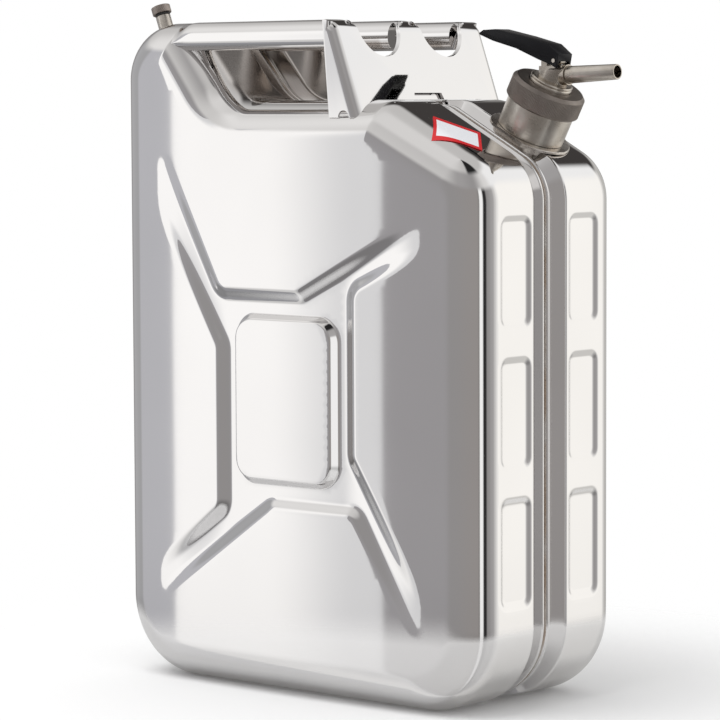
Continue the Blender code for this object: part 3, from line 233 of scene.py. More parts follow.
class Outline:
    """A closed outline with rounded corners, which can be drawn in."""

    def __init__(self, corners: Sequence[Point], spacing: float,
                 windows: Sequence[tuple[float, float]] = (), close: float = 0.0013) -> None:
        """Take the outline's corners.

        Args:
            corners: x, z and radius of each corner, counter-clockwise.
            spacing: Distance between the points that are made.
            windows: Heights between which upright sides get closer points.
            close: Distance between those points.
        """
        self.corners = corners
        self.arc_counts: list[int] = []
        self.side_shares: list[list[float]] = []
        bends = self._bends(0.0)
        for index, (start, centre, turn) in enumerate(bends):
            length = (start - centre).length * abs(turn)
            self.arc_counts.append(max(3, math.ceil(length / spacing)))
            end = arc(start, centre, turn, 1)[1]
            following = bends[(index + 1) % len(bends)][0]
            count = max(1, round((following - end).length / spacing))
            shares = [step / count for step in range(1, count)]
            if meets(following.x, end.x):
                shares = self._closer(shares, end.y, following.y, windows, close)
            self.side_shares.append(shares)

    @staticmethod
    def _closer(shares: list[float], start: float, end: float,
                windows: Sequence[tuple[float, float]], close: float) -> list[float]:
        """Put closer points on an upright side within the windows."""
        for low, high in windows:
            if not min(start, end) < low < high < max(start, end):
                continue
            shares = [share for share in shares
                      if not low - close < start + (end - start) * share < high + close]
            heights = np.linspace(low, high, round((high - low) / close) + 1)
            shares += [float(share) for share in (heights - start) / (end - start)]
        return sorted(shares)

    def _bends(self, inset: float) -> list[tuple[Vector, Vector, float]]:
        """Start, centre and turn of each corner's arc at an inset."""
        count = len(self.corners)
        sides = []
        for index in range(count):
            start = Vector(self.corners[index][:2])
            along = (Vector(self.corners[(index + 1) % count][:2]) - start).normalized()
            sides.append((start + Vector((-along.y, along.x)) * inset, along))
        bends = []
        for index in range(count):
            (before, came), (after, goes) = sides[index - 1], sides[index]
            gap = after - before
            cross = came.x * goes.y - came.y * goes.x
            vertex = before + came * ((gap.x * goes.y - gap.y * goes.x) / cross)
            turn = turn_between(came, goes)
            radius = self.corners[index][2] - inset * math.copysign(1.0, turn)
            bends.append((*bend(vertex, came, turn, max(radius, CAN.least_radius)), turn))
        return bends

    def points(self, inset: float = 0.0) -> np.ndarray:
        """Points of the outline at an inset, always as many.

        Args:
            inset: How far the outline is drawn in.

        Returns:
            One row of x and z for each point.
        """
        bends = self._bends(inset)
        made = []
        for index, (start, centre, turn) in enumerate(bends):
            made += arc(start, centre, turn, self.arc_counts[index])
            end, following = made[-1], bends[(index + 1) % len(bends)][0]
            made += [end.lerp(following, share) for share in self.side_shares[index]]
        return np.array([tuple(point) for point in made])


def smooth_step(value: np.ndarray) -> np.ndarray:
    """A soft step from 0 to 1 as the value goes from 0 to 1."""
    value = np.clip(value, 0.0, 1.0)
    return value * value * (3.0 - 2.0 * value)


def steady_rise(value: np.ndarray, soft: float) -> np.ndarray:
    """Rise from 0 to 1 at a steady slope, rounded over a share of the way at both ends."""
    way = np.clip(value, 0.0, 1.0)
    slope = 1.0 / (1.0 - soft)
    early = way ** 2 * slope / (2 * soft)
    late = 1.0 - (1.0 - way) ** 2 * slope / (2 * soft)
    steady = (way - soft / 2) * slope
    return np.where(way < soft, early, np.where(way > 1.0 - soft, late, steady))


def distance_to(loop: np.ndarray, points: np.ndarray) -> np.ndarray:
    """Shortest distance of each point from a closed line."""
    best = np.full(len(points), np.inf)
    for start, end in zip(loop, np.roll(loop, -1, axis=0)):
        along = end - start
        share = np.clip((points - start) @ along / (along @ along), 0.0, 1.0)
        nearest = start + share[:, None] * along
        best = np.minimum(best, np.linalg.norm(points - nearest, axis=1))
    return best


def is_inside(loop: np.ndarray, points: np.ndarray) -> np.ndarray:
    """Which points lie inside a closed line."""
    odd = np.zeros(len(points), dtype=bool)
    x, z = points[:, 0], points[:, 1]
    for (x1, z1), (x2, z2) in zip(loop, np.roll(loop, -1, axis=0)):
        if z1 == z2:
            continue
        across = x1 + (z - z1) * (x2 - x1) / (z2 - z1)
        odd ^= ((z1 > z) != (z2 > z)) & (x < across)
    return odd


def depth_inside(loop: np.ndarray, points: np.ndarray) -> np.ndarray:
    """Distance from a closed line, positive inside it."""
    return np.where(is_inside(loop, points), 1.0, -1.0) * distance_to(loop, points)


def between_rings(rings: int, size: int) -> list[tuple[int, ...]]:
    """Faces between closed rings of as many points, which are counted ring by ring."""
    faces: list[tuple[int, ...]] = []
    for base in range(0, (rings - 1) * size, size):
        for index in range(size):
            following = base + (index + 1) % size
            faces.append((base + index, following, following + size, base + size + index))
    return faces


class Bench:
    """The workbench: operators that several pieces are made with."""

    @staticmethod
    def named(name: str) -> bpy.types.Object:
        """Name the primitive that was just added."""
        piece = bpy.context.object
        piece.name = name
        piece.data.name = name
        return piece

    @staticmethod
    def linked(name: str, data: bpy.types.ID) -> bpy.types.Object:
        """Put new data into the scene as an object."""
        piece = bpy.data.objects.new(name, data)
        bpy.context.collection.objects.link(piece)
        return piece

    @staticmethod
    def meshed(name: str, points: list[Any], faces: list[tuple[int, ...]]) -> bpy.types.Object:
        """Put points and faces into the scene as an object."""
        mesh = bpy.data.meshes.new(name)
        mesh.from_pydata(points, [], faces)
        return Bench.linked(name, mesh)

    @staticmethod
    def choose(piece: bpy.types.Object) -> None:
        """Make one object the only chosen one."""
        bpy.ops.object.select_all(action="DESELECT")
        piece.select_set(True)
        bpy.context.view_layer.objects.active = piece

    @staticmethod
    @contextmanager
    def editing(piece: bpy.types.Object, mode: str = "FACE") -> Iterator[None]:
        """Edit mode on one piece, with nothing selected at first.

        Args:
            piece: The object to edit.
            mode: What is selected: VERT, EDGE or FACE.
        """
        Bench.choose(piece)
        bpy.ops.object.mode_set(mode="EDIT")
        bpy.ops.mesh.select_mode(type=mode)
        bpy.ops.mesh.select_all(action="DESELECT")
        try:
            yield
        finally:
            bpy.ops.object.mode_set(mode="OBJECT")

    @staticmethod
    def pick_faces(piece: bpy.types.Object, test: Callable[[bpy.types.MeshPolygon], bool]
                   ) -> None:
        """Select the faces that pass a test, from edit mode."""
        bpy.ops.object.mode_set(mode="OBJECT")
        for face in piece.data.polygons:
            face.select = bool(test(face))
        bpy.ops.object.mode_set(mode="EDIT")

    @staticmethod
    def bevel_edges(piece: bpy.types.Object, test: Callable[[Vector, Vector], bool],
                    radius: float, segments: int) -> None:
        """Round the edges whose two ends pass a test.

        Args:
            piece: The object to edit.
            test: Says whether the edge between two ends is wanted.
            radius: Radius of the rounding.
            segments: How many faces it gets.
        """
        with Bench.editing(piece, "EDGE"):
            Bench.pick_edges(piece, test)
            bpy.ops.mesh.bevel(offset=radius, segments=segments, affect="EDGES")

    @staticmethod
    def pick_edges(piece: bpy.types.Object, test: Callable[[Vector, Vector], bool]) -> None:
        """Select the edges whose two ends pass a test, from edit mode."""
        bpy.ops.object.mode_set(mode="OBJECT")
        mesh = piece.data
        for edge in mesh.edges:
            edge.select = bool(test(*(mesh.vertices[index].co for index in edge.vertices)))
        bpy.ops.object.mode_set(mode="EDIT")

    @staticmethod
    def close_up(merge: float = 0.0) -> None:
        """Merge all points within a distance and turn the faces out, from edit mode."""
        bpy.ops.mesh.select_all(action="SELECT")
        if merge:
            bpy.ops.mesh.remove_doubles(threshold=merge)
        bpy.ops.mesh.normals_make_consistent(inside=False)

    @staticmethod
    def apply(piece: bpy.types.Object, kind: str, **settings: Any) -> None:
        """Put a modifier on a piece and apply it.

        Args:
            piece: The object to change.
            kind: The modifier's type.
            settings: The modifier's properties.
        """
        modifier = piece.modifiers.new(kind.lower(), kind)
        for name, value in settings.items():
            setattr(modifier, name, value)
        Bench.choose(piece)
        bpy.ops.object.modifier_apply(modifier=modifier.name)

    @staticmethod
    def soften(piece: bpy.types.Object, width: float, angle: float) -> None:
        """Take the sharpness off the edges that turn by more than an angle."""
        Bench.apply(piece, "BEVEL", width=width, segments=2, limit_method="ANGLE",
                    angle_limit=angle)

    @staticmethod
    def cut(piece: bpy.types.Object, *cutters: bpy.types.Object, keep: bool = False) -> None:
        """Cut a piece with other objects, which are removed afterwards unless kept."""
        for cutter in cutters:
            Bench.apply(piece, "BOOLEAN", operation="DIFFERENCE", object=cutter)
            if not keep:
                bpy.data.objects.remove(cutter, do_unlink=True)

    @staticmethod
    def unite(piece: bpy.types.Object, *others: bpy.types.Object) -> None:
        """Join other objects to a piece."""
        for other in others:
            Bench.apply(piece, "BOOLEAN", operation="UNION", object=other)
            bpy.data.objects.remove(other, do_unlink=True)

    @staticmethod
    def settle(piece: bpy.types.Object, place: Matrix = Matrix.Identity(4),
               angle: float = math.radians(32)) -> None:
        """Move a finished mesh to its place, leave its object at the origin and shade it.

        Args:
            piece: The finished object.
            place: From the piece's axes to the can's own.
            angle: Faces that turn by more keep a sharp edge.
        """
        piece.data.transform(CAN.to_frame @ place @ piece.matrix_world)
        piece.matrix_world = Matrix.Identity(4)
        Bench.choose(piece)
        bpy.ops.object.shade_smooth_by_angle(angle=angle)

    @staticmethod
    def box(name: str, low: Sequence[float], high: Sequence[float]) -> bpy.types.Object:
        """A box between two corners."""
        middle = [(a + b) / 2 for a, b in zip(low, high)]
        bpy.ops.mesh.primitive_cube_add(size=1.0, location=middle,
                                        scale=[b - a for a, b in zip(low, high)])
        bpy.ops.object.transform_apply(location=True, rotation=True, scale=True)
        return Bench.named(name)

    @staticmethod
    def rod(name: str, radius: float, low: float, high: float, place: Matrix,
            steps: int = 64) -> bpy.types.Object:
        """A rod along a place's Z between two heights."""
        bpy.ops.mesh.primitive_cylinder_add(vertices=steps, radius=radius, depth=high - low,
                                            location=(0.0, 0.0, (low + high) / 2))
        bpy.ops.object.transform_apply(location=True, rotation=True, scale=True)
        piece = Bench.named(name)
        piece.data.transform(place)
        return piece

    @staticmethod
    def prism(name: str, outline: Sequence[tuple[float, float]], low: float, high: float
              ) -> bpy.types.Object:
        """Extrude an outline of x and z between two places on Y."""
        bpy.ops.mesh.primitive_circle_add(vertices=len(outline), radius=1.0,
                                          fill_type="NGON")
        piece = Bench.named(name)
        for vertex, (x, z) in zip(piece.data.vertices, outline):
            vertex.co = (x, low, z)
        with Bench.editing(piece):
            bpy.ops.mesh.select_all(action="SELECT")
            bpy.ops.mesh.extrude_region_move(
                TRANSFORM_OT_translate={"value": (0.0, high - low, 0.0)})
            Bench.close_up()
        return piece

    @staticmethod
    def turned(name: str, profile: Sequence[Point], steps: int = 96,
               spacing: float = 0.0004) -> bpy.types.Object:
        """Spin a closed profile round local Z.

        Args:
            name: The piece's name.
            profile: Radius, height and rounding of each corner, counter-clockwise.
            steps: How many steps the spin takes.
            spacing: Distance between the points of a rounding.

        Returns:
            The turned piece.
        """
        corners = softened(profile, spacing)
        bpy.ops.mesh.primitive_circle_add(vertices=len(corners), radius=1.0)
        piece = Bench.named(name)
        for vertex, (radius, height) in zip(piece.data.vertices, corners):
            vertex.co = (radius, 0.0, height)
        with Bench.editing(piece, "VERT"):
            bpy.ops.mesh.select_all(action="SELECT")
            bpy.ops.mesh.spin(steps=steps, angle=math.tau, center=(0, 0, 0), axis=(0, 0, 1))
            Bench.close_up(0.000005)
        return piece

    @staticmethod
    def knurl(piece: bpy.types.Object, least: float, scale: Callable[[float, float], float]
              ) -> None:
        """Draw a turned piece's outer points in towards its axis.

        Args:
            piece: The turned piece.
            least: Points nearer to the axis than this stay as they are.
            scale: From a point's distance and angle to its share of the distance.
        """
        for vertex in piece.data.vertices:
            away = math.hypot(vertex.co.x, vertex.co.y)
            if away >= least:
                share = scale(away, math.atan2(vertex.co.y, vertex.co.x))
                vertex.co.x *= share
                vertex.co.y *= share


@dataclass(frozen=True)
class Wire:
    """A shader socket that does maths by making nodes."""

    graph: "Graph"
    socket: bpy.types.NodeSocket

    def __add__(self, other: Any) -> "Wire":
        """Sum."""
        return self.graph.math("ADD", self, other)

    __radd__ = __add__

    def __sub__(self, other: Any) -> "Wire":
        """Difference."""
        return self.graph.math("SUBTRACT", self, other)

    def __rsub__(self, other: Any) -> "Wire":
        """Difference, the other way round."""
        return self.graph.math("SUBTRACT", other, self)

    def __mul__(self, other: Any) -> "Wire":
        """Product."""
        return self.graph.math("MULTIPLY", self, other)

    def __truediv__(self, other: Any) -> "Wire":
        """Quotient."""
        return self.graph.math("DIVIDE", self, other)


class Graph:
    """The nodes of one material or world."""

    def __init__(self, owner: bpy.types.Material | bpy.types.World) -> None:
        """Empty the owner's node tree."""
        owner.use_nodes = True
        self.tree = owner.node_tree
        self.tree.nodes.clear()

    def node(self, kind: str, settings: dict[str, Any] | None = None, **values: Any
             ) -> bpy.types.Node:
        """Make a node.

        Args:
            kind: The node's type.
            settings: The node's own properties.
            values: Values or wires by socket name, with _ for a space.

        Returns:
            The node.
        """
        made = self.tree.nodes.new(kind)
        for name, value in (settings or {}).items():
            setattr(made, name, value)
        for name, value in values.items():
            self.feed(made.inputs[name.replace("_", " ")], value)
        return made

    def feed(self, socket: bpy.types.NodeSocket, value: Any) -> None:
        """Link a wire to a socket, or set the socket's value."""
        if isinstance(value, Wire):
            self.tree.links.new(value.socket, socket)
        else:
            socket.default_value = value

    def wire(self, node: bpy.types.Node, output: int | str = 0) -> Wire:
        """One of a node's outputs."""
        return Wire(self, node.outputs[output])

    def math(self, operation: str, *values: Any) -> Wire:
        """Math on numbers or wires."""
        made = self.node("ShaderNodeMath", {"operation": operation})
        for socket, value in zip(made.inputs, values):
            self.feed(socket, value)
        return self.wire(made)

    def place(self) -> Wire:
        """Object coordinates."""
        return self.wire(self.node("ShaderNodeTexCoord"), "Object")

    def axes(self) -> list[Wire]:
        """Object coordinates along X, Y and Z."""
        parts = self.node("ShaderNodeSeparateXYZ", Vector=self.place())
        return [self.wire(parts, name) for name in "XYZ"]

    def along(self, direction: Vector) -> Wire:
        """Object coordinates along a direction."""
        made = self.node("ShaderNodeVectorMath", {"operation": "DOT_PRODUCT"})
        self.feed(made.inputs[0], self.place())
        self.feed(made.inputs[1], tuple(direction))
        return self.wire(made, "Value")

    def noise(self, scale: float, detail: float, stretch: float = 1.0) -> Wire:
        """Noise over a piece.

        Args:
            scale: Waves per metre, about.
            detail: Octaves.
            stretch: How much denser the waves are along Z.

        Returns:
            The noise, from 0 to 1.
        """
        mapped = self.node("ShaderNodeMapping", {"vector_type": "TEXTURE"},
                           Vector=self.place(), Scale=(1.0, 1.0, 1.0 / stretch))
        made = self.node("ShaderNodeTexNoise", Vector=self.wire(mapped), Scale=scale,
                         Detail=detail)
        return self.wire(made)

    def bump(self, height: Wire, distance: float, strength: float = 1.0) -> Wire:
        """A normal that a height bends."""
        return self.wire(self.node("ShaderNodeBump", Height=height, Strength=strength,
                                   Distance=distance))

    def blend(self, factor: Wire, first: Any, second: Any) -> Wire:
        """Mix two colours."""
        made = self.node("ShaderNodeMix", {"data_type": "RGBA"})
        named = {socket.identifier: socket for socket in made.inputs}
        self.feed(named["Factor_Float"], factor)
        for name, value in (("A_Color", first), ("B_Color", second)):
            self.feed(named[name], (*value, 1.0) if isinstance(value, tuple) else value)
        outputs = {socket.identifier: socket for socket in made.outputs}
        return Wire(self, outputs["Result_Color"])

    def band(self, value: Wire, low: float, high: float) -> Wire:
        """A soft step from 0 at low to 1 at high."""
        return self.wire(self.node("ShaderNodeMapRange", {"interpolation_type": "SMOOTHSTEP"},
                                   Value=value, From_Min=low, From_Max=high))

    def ramp(self, value: Wire, stops: Sequence[tuple[float, Colour]]) -> Wire:
        """Colours that follow a value, eased from stop to stop."""
        made = self.node("ShaderNodeValToRGB", Fac=value)
        made.color_ramp.interpolation = "EASE"
        elements = made.color_ramp.elements
        elements.remove(elements[-1])
        for index, (place, colour) in enumerate(stops):
            element = elements.new(place) if index else elements[0]
            element.position = place
            element.color = (*colour, 1.0)
        return self.wire(made)


class Finish:
    """A named material with a Principled shader."""

    name = "finish"

    def make(self) -> bpy.types.Material:
        """Build the material."""
        made = bpy.data.materials.new(self.name)
        graph = Graph(made)
        shader = graph.node("ShaderNodeBsdfPrincipled", **self.sockets(graph))
        graph.node("ShaderNodeOutputMaterial", Surface=graph.wire(shader))
        return made

    def sockets(self, graph: Graph) -> dict[str, Any]:
        """Values and wires of the shader's sockets, by name with _ for a space."""
        raise NotImplementedError


@dataclass(frozen=True)
class PolishedSteel(Finish):
    """Mirror-polished stainless sheet with faint waves and polishing marks, and painted shade
    inside the hand recess.
    """

    name: str = "mirror_steel"
    bright: Colour = (0.86, 0.85, 0.845)
    dim: Colour = (0.78, 0.77, 0.765)
    # Painted shade: the darker colour that the base colour is blended to inside the hand recess.
    shaded: Colour = (0.56, 0.52, 0.49)
    roughness: float = 0.03
    cloud_scale: float = 7.0
    cloud_roughness: float = 0.012
    mark_scale: float = 60.0
    mark_stretch: float = 14.0
    mark_roughness: float = 0.016
    wave_scale: float = 11.0
    wave_height: float = 0.00004
    inner_roughness: float = 0.17
    inner_side: float = 0.012
    inner_end: float = 0.004
    inner_floor: tuple[float, float] = (-0.006, 0.004)
    inner_top: tuple[float, float] = (-0.018, -0.010)

    def sockets(self, graph: Graph) -> dict[str, Any]:
        """Colour, gloss and waves of the sheet."""
        cloud = graph.noise(self.cloud_scale, 3.0)
        marks = graph.noise(self.mark_scale, 4.0, self.mark_stretch)
        # Mask of the hand recess: it darkens the base colour there as painted shade, and raises
        # the roughness.
        inside = self._recess_shade_and_roughness(graph)
        colour = graph.blend(cloud, self.dim, self.bright)
        waves = graph.noise(self.wave_scale, 1.0)
        return {"Base_Color": graph.blend(inside, colour, self.shaded),
                "Roughness": (self.roughness + cloud * self.cloud_roughness
                              + marks * self.mark_roughness + inside * self.inner_roughness),
                "Metallic": 1.0, "Normal": graph.bump(waves, self.wave_height)}

    def _recess_shade_and_roughness(self, graph: Graph) -> Wire:
        """Share of the hand recess: there the colour is darkened as painted shade, and the
        roughness is raised.
        """
        x, y, z = graph.axes()
        end = CAN.to_frame.translation.x + CAN.deck_start_x / 3
        side, low, high = CAN.rounding_start, CAN.recess_floor, CAN.height
        across = graph.band(graph.math("ABSOLUTE", y) * -1.0, -side - self.inner_side, -side)
        along = graph.band(x * -1.0, -end, self.inner_end - end)
        above = graph.band(z, *(low + step for step in self.inner_floor))
        below = graph.band(z * -1.0, *(-high - step for step in reversed(self.inner_top)))
        return across * along * above * below


@dataclass(frozen=True)
class WeldMetal(Finish):
    """Weld bead: dull, rippled and tinted by the heat."""

    name: str = "weld_bead"
    grey: Colour = (0.55, 0.52, 0.49)
    tint: Colour = (0.40, 0.31, 0.24)
    roughness: float = 0.26
    grain_roughness: float = 0.2
    grain_height: float = 0.0003

    def sockets(self, graph: Graph) -> dict[str, Any]:
        """Tint and ripples of the bead."""
        patches = graph.noise(38.0, 4.0)
        grains = graph.noise(900.0, 2.0)
        return {"Base_Color": graph.blend(graph.band(patches, 0.35, 0.65), self.grey, self.tint),
                "Roughness": self.roughness + grains * self.grain_roughness,
                "Metallic": 1.0, "Normal": graph.bump(grains, self.grain_height, 0.6)}


@dataclass(frozen=True)
class MachinedMetal(Finish):
    """Turned metal with fine rings square to the neck's axis."""

    name: str = "turned_steel"
    light: Colour = (0.72, 0.68, 0.62)
    dark: Colour = (0.54, 0.49, 0.43)
    roughness: float = 0.20
    stain_roughness: float = 0.1
    ring_scale: float = 2600.0
    ring_height: float = 0.00002
    speckle: float = 0.08

    def sockets(self, graph: Graph) -> dict[str, Any]:
        """Rings and stains of the metal."""
        rings = graph.math("SINE", graph.along(CAN.neck_axis) * self.ring_scale)
        stains = graph.noise(55.0, 4.0)
        grains = graph.noise(1400.0, 2.0)
        return {"Base_Color": graph.blend(graph.band(stains, 0.3, 0.7), self.dark, self.light),
                "Roughness": (self.roughness + stains * self.stain_roughness
                              + grains * self.speckle),
                "Metallic": 1.0, "Normal": graph.bump(rings + grains, self.ring_height, 0.5)}


@dataclass(frozen=True)
class MouldedPlastic(Finish):
    """Black moulded plastic with a fine grain."""

    name: str = "black_lever_plastic"
    colour: Colour = (0.004, 0.004, 0.005)
    worn: Colour = (0.010, 0.010, 0.012)
    roughness: float = 0.28
    grain_roughness: float = 0.12
    grain_height: float = 0.00004
    specular: float = 0.2

    def sockets(self, graph: Graph) -> dict[str, Any]:
        """Colour and grain of the plastic."""
        grain = graph.noise(1500.0, 2.0)
        return {"Base_Color": graph.blend(graph.noise(45.0, 3.0), self.colour, self.worn),
                "Roughness": self.roughness + grain * self.grain_roughness,
                "Specular_IOR_Level": self.specular,
                "Normal": graph.bump(grain, self.grain_height, 0.3)}


@dataclass(frozen=True)
class SealRubber(Finish):
    """Black sealing rubber."""

    name: str = "seal_ring_rubber"
    colour: Colour = (0.020, 0.020, 0.020)
    bloom: Colour = (0.050, 0.048, 0.046)
    roughness: float = 0.6
    bloom_roughness: float = 0.2

    def sockets(self, graph: Graph) -> dict[str, Any]:
        """Colour and bloom of the rubber."""
        patches = graph.noise(300.0, 3.0)
        return {"Base_Color": graph.blend(patches, self.colour, self.bloom),
                "Roughness": self.roughness + patches * self.bloom_roughness}


@dataclass(frozen=True)
class StickerFilm(Finish):
    """Plain white film with a red frame."""

    name: str = "white_sticker_film"
    white: Colour = (0.80, 0.81, 0.84)
    red: Colour = (0.62, 0.015, 0.02)
    stripe: float = 0.0130
    side_stripe: float = 0.0153
    print_edge: float = 0.0002
    roughness: float = 0.30
    grain_roughness: float = 0.1

    def sockets(self, graph: Graph) -> dict[str, Any]:
        """Film with a frame along the square's edges."""
        middle = CAN.to_frame @ BlankSticker().middle
        slope = CAN.deck_slope
        stripes = []
        for side, start in ((-1.0, self.stripe), (1.0, self.side_stripe)):
            edge = Vector((math.cos(slope), side, -math.sin(slope))).normalized()
            reach = graph.math("ABSOLUTE", graph.along(edge) - middle.dot(edge))
            stripes.append(graph.band(reach, start, start + self.print_edge))
        grain = graph.noise(900.0, 2.0)
        return {"Base_Color": graph.blend(graph.math("MAXIMUM", *stripes), self.white, self.red),
                "Roughness": self.roughness + grain * self.grain_roughness}


class Finishes:
    """All finishes, made once."""

    def __init__(self) -> None:
        """Build the materials."""
        nut = MachinedMetal(name="dark_nickel_knurl", light=(0.36, 0.32, 0.29),
                            dark=(0.25, 0.22, 0.20), roughness=0.32, speckle=0.16)
        vent = MachinedMetal(name="vent_nickel", light=(0.50, 0.45, 0.41),
                             dark=(0.34, 0.29, 0.26), roughness=0.30, speckle=0.14)
        arrester = MachinedMetal(name="arrester_sheet", light=(0.55, 0.54, 0.52),
                                 dark=(0.42, 0.41, 0.40), roughness=0.36)
        welded = MachinedMetal(name="welded_collar_steel", light=(0.84, 0.81, 0.77),
                               dark=(0.58, 0.53, 0.48))
        self.welded = welded.make()
        self.by_slot = {slot: finish.make() for slot, finish in (
            (Slot.STEEL, PolishedSteel()), (Slot.WELD, WeldMetal()),
            (Slot.SATIN, MachinedMetal()), (Slot.NUT, nut), (Slot.ARRESTER, arrester),
            (Slot.VENT, vent), (Slot.PLASTIC, MouldedPlastic()), (Slot.RUBBER, SealRubber()),
            (Slot.STICKER, StickerFilm()))}


class Assembly:
    """Takes finished pieces into the frame."""

    def __init__(self, finishes: Finishes) -> None:
        """Keep the finishes."""
        self.finishes = finishes

    def add(self, piece: bpy.types.Object, body: Body, slot: Slot, *nodes: str,
            finish: bpy.types.Material | None = None) -> None:
        """Dress a piece, and hang it on its body.

        Args:
            piece: The finished piece.
            body: The body that it rides on.
            slot: Its material slot.
            nodes: The frame's nodes that it stands for.
            finish: A finish in place of the slot's own.
        """
        piece.data.materials.clear()
        piece.data.materials.append(finish or self.finishes.by_slot[slot])
        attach(piece, body.value)
        if nodes:
            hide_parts(*nodes)
        LOG.info("%s: %d faces on %s", piece.name, len(piece.data.polygons), body.value)

    def dress_node(self, name: str, slot: Slot) -> None:
        """Give one of the frame's own nodes its finish."""
        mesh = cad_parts[name].data
        mesh.materials.clear()
        mesh.materials.append(self.finishes.by_slot[slot])


@dataclass
class PressedShell:
    """The two pressed halves of the can."""

    spacing: float = 0.0034
    lattice: float = 0.0044
    lattice_rows: float = 0.87
    lattice_room: float = 0.55
    wall_step: float = 0.0009
    press_step: float = 0.00144
    plaque_step: float = 0.00045
    press_depth: float = 0.0045
    press_wall: float = 0.0075
    press_radius: float = 0.012
    press_outer: float = 0.004
    press_start: float = 0.014
    press_fade: float = 0.078
    press_margin: float = 0.010
    panel_inner_x: float = 0.0635
    end_panel_long: float = 0.065
    end_panel_short: float = 0.014
    end_panel_gap: float = 0.0145
    side_panel_height: float = 0.1185
    side_panel_shift: float = 0.02225
    plaque_width: float = 0.100
    plaque_height: float = 0.124
    plaque_centre: float = 0.2145
    plaque_rise: float = 0.0065
    plaque_wall: float = 0.0051
    steady_soft: float = 0.2
    plaque_radius: float = 0.019
    pad_first: float = 0.0746
    pad_gap: float = 0.0188
    pad_height: float = 0.0792
    pad_inner: float = 0.0026
    pad_outer: float = 0.0002
    pad_wall: float = 0.0050
    pad_depth: float = 0.0016
    pad_radius: float = 0.0085
    pad_count: int = 3
    fillet: float = 0.0025
    edge_fillet: float = 0.0030
    lip_edge_depth: float = 0.0065
    lip_edge_y: float = 0.00075
    lip_inner_y: float = 0.0022
    lip_outer_y: float = 0.0042
    lip_foot_y: float = 0.0060
    lip_fillet: float = 0.0010
    hole_gap: float = 0.0003
    collar_radius: float = 0.0231
    collar_reach: float = 0.03
    vent_radius: float = 0.0056
    vent_reach: float = 0.01
    arm_low_left: tuple[float, float] = (0.058, 0.082)
    arm_low_right: tuple[float, float] = (0.046, 0.070)
    arm_low_draw: float = 0.008
    arm_high_right: tuple[float, float] = (-0.0547, -0.0307)
    arm_high_left: tuple[float, float] = (-0.124, -0.071)
    section_step: float = 0.0006
    side_step: float = 0.0016
    arc_steps: int = 16

    def __post_init__(self) -> None:
        """Draw the outlines that the faces are pressed along."""
        windows = []
        for index in range(self.pad_count):
            low = self.pad_first + index * (self.pad_height + self.pad_gap)
            for end, side in ((low, 1), (low + self.pad_height, -1)):
                reach = sorted((end - side * self.wall_step, end + side * self.pad_radius * 1.2))
                windows.append((reach[0], reach[1]))
        self.outline = Outline(CAN.corners(), self.spacing, windows)
        self.border = Outline(CAN.corners(), self.spacing * 2).points(CAN.edge_rounding)
        self.press = Outline(self._press_corners(), self.spacing / 2)
        self.sign = Outline(self._plaque_corners(), self.spacing / 2)
        self.rim = self.press.points()
        self.plaque = self.sign.points()

    def _press_corners(self) -> list[Point]:
        """Corners of the sunken X, counter-clockwise."""
        soft = self.press_radius
        tip = self.press_wall + CAN.least_radius
        reach = CAN.half_width - CAN.edge_rounding - self.press_margin
        top = self.plaque_centre + self.plaque_height / 2 + self.end_panel_gap
        bottom = self.plaque_centre - self.plaque_height / 2 - self.end_panel_gap
        low = self.plaque_centre - self.side_panel_height / 2 - self.side_panel_shift
        right_low = low + 2 * self.side_panel_shift
        shoulder = CAN.deck_z(CAN.half_width)
        left_foot, left_side = self.arm_low_left
        right_foot, right_side = self.arm_low_right
        right_low_end, right_high_end = (shoulder + step for step in self.arm_high_right)
        left_low_end, left_high_end = (CAN.height + step for step in self.arm_high_left)
        return [
            (-reach, left_foot, tip), (-self.end_panel_short, bottom, soft),
            (self.end_panel_long, bottom, soft), (reach - self.arm_low_draw, right_foot, tip),
            (reach, right_side, tip), (self.panel_inner_x, right_low, soft),
            (self.panel_inner_x, right_low + self.side_panel_height, soft),
            (reach, right_low_end, tip), (reach, right_high_end, tip),
            (self.end_panel_short, top, soft), (-self.end_panel_long, top, soft),
            (-reach, left_high_end, tip), (-reach, left_low_end, tip),
            (-self.panel_inner_x, low + self.side_panel_height, soft),
            (-self.panel_inner_x, low, soft), (-reach, left_side, tip),
        ]

    def _plaque_corners(self) -> list[Point]:
        """Corners of the plaque, counter-clockwise."""
        half_x, half_z = self.plaque_width / 2, self.plaque_height / 2
        return [(half_x * x, self.plaque_centre + half_z * z, self.plaque_radius)
                for x, z in ((-1, -1), (1, -1), (1, 1), (-1, 1))]

    def crown(self, points: np.ndarray) -> np.ndarray:
        """Height of the face's crown, which runs from its left to its right edge."""
        half = CAN.half_width - CAN.edge_rounding
        return CAN.crown * (1.0 - (points[:, 0] / half) ** 2)

    def face_height(self, points: np.ndarray) -> np.ndarray:
        """Height of the broad face over the plane of its border."""
        inner = distance_to(self.border, points) - self.press_start
        near = smooth_step(inner / self.press_fade)
        walls = depth_inside(self.rim, points)
        sunk = smooth_step((walls + self.press_outer) / (self.press_wall + self.press_outer))
        lifted = steady_rise(depth_inside(self.plaque, points) / self.plaque_wall,
                             self.steady_soft)
        return self.crown(points) - self.press_depth * sunk * near + self.plaque_rise * lifted

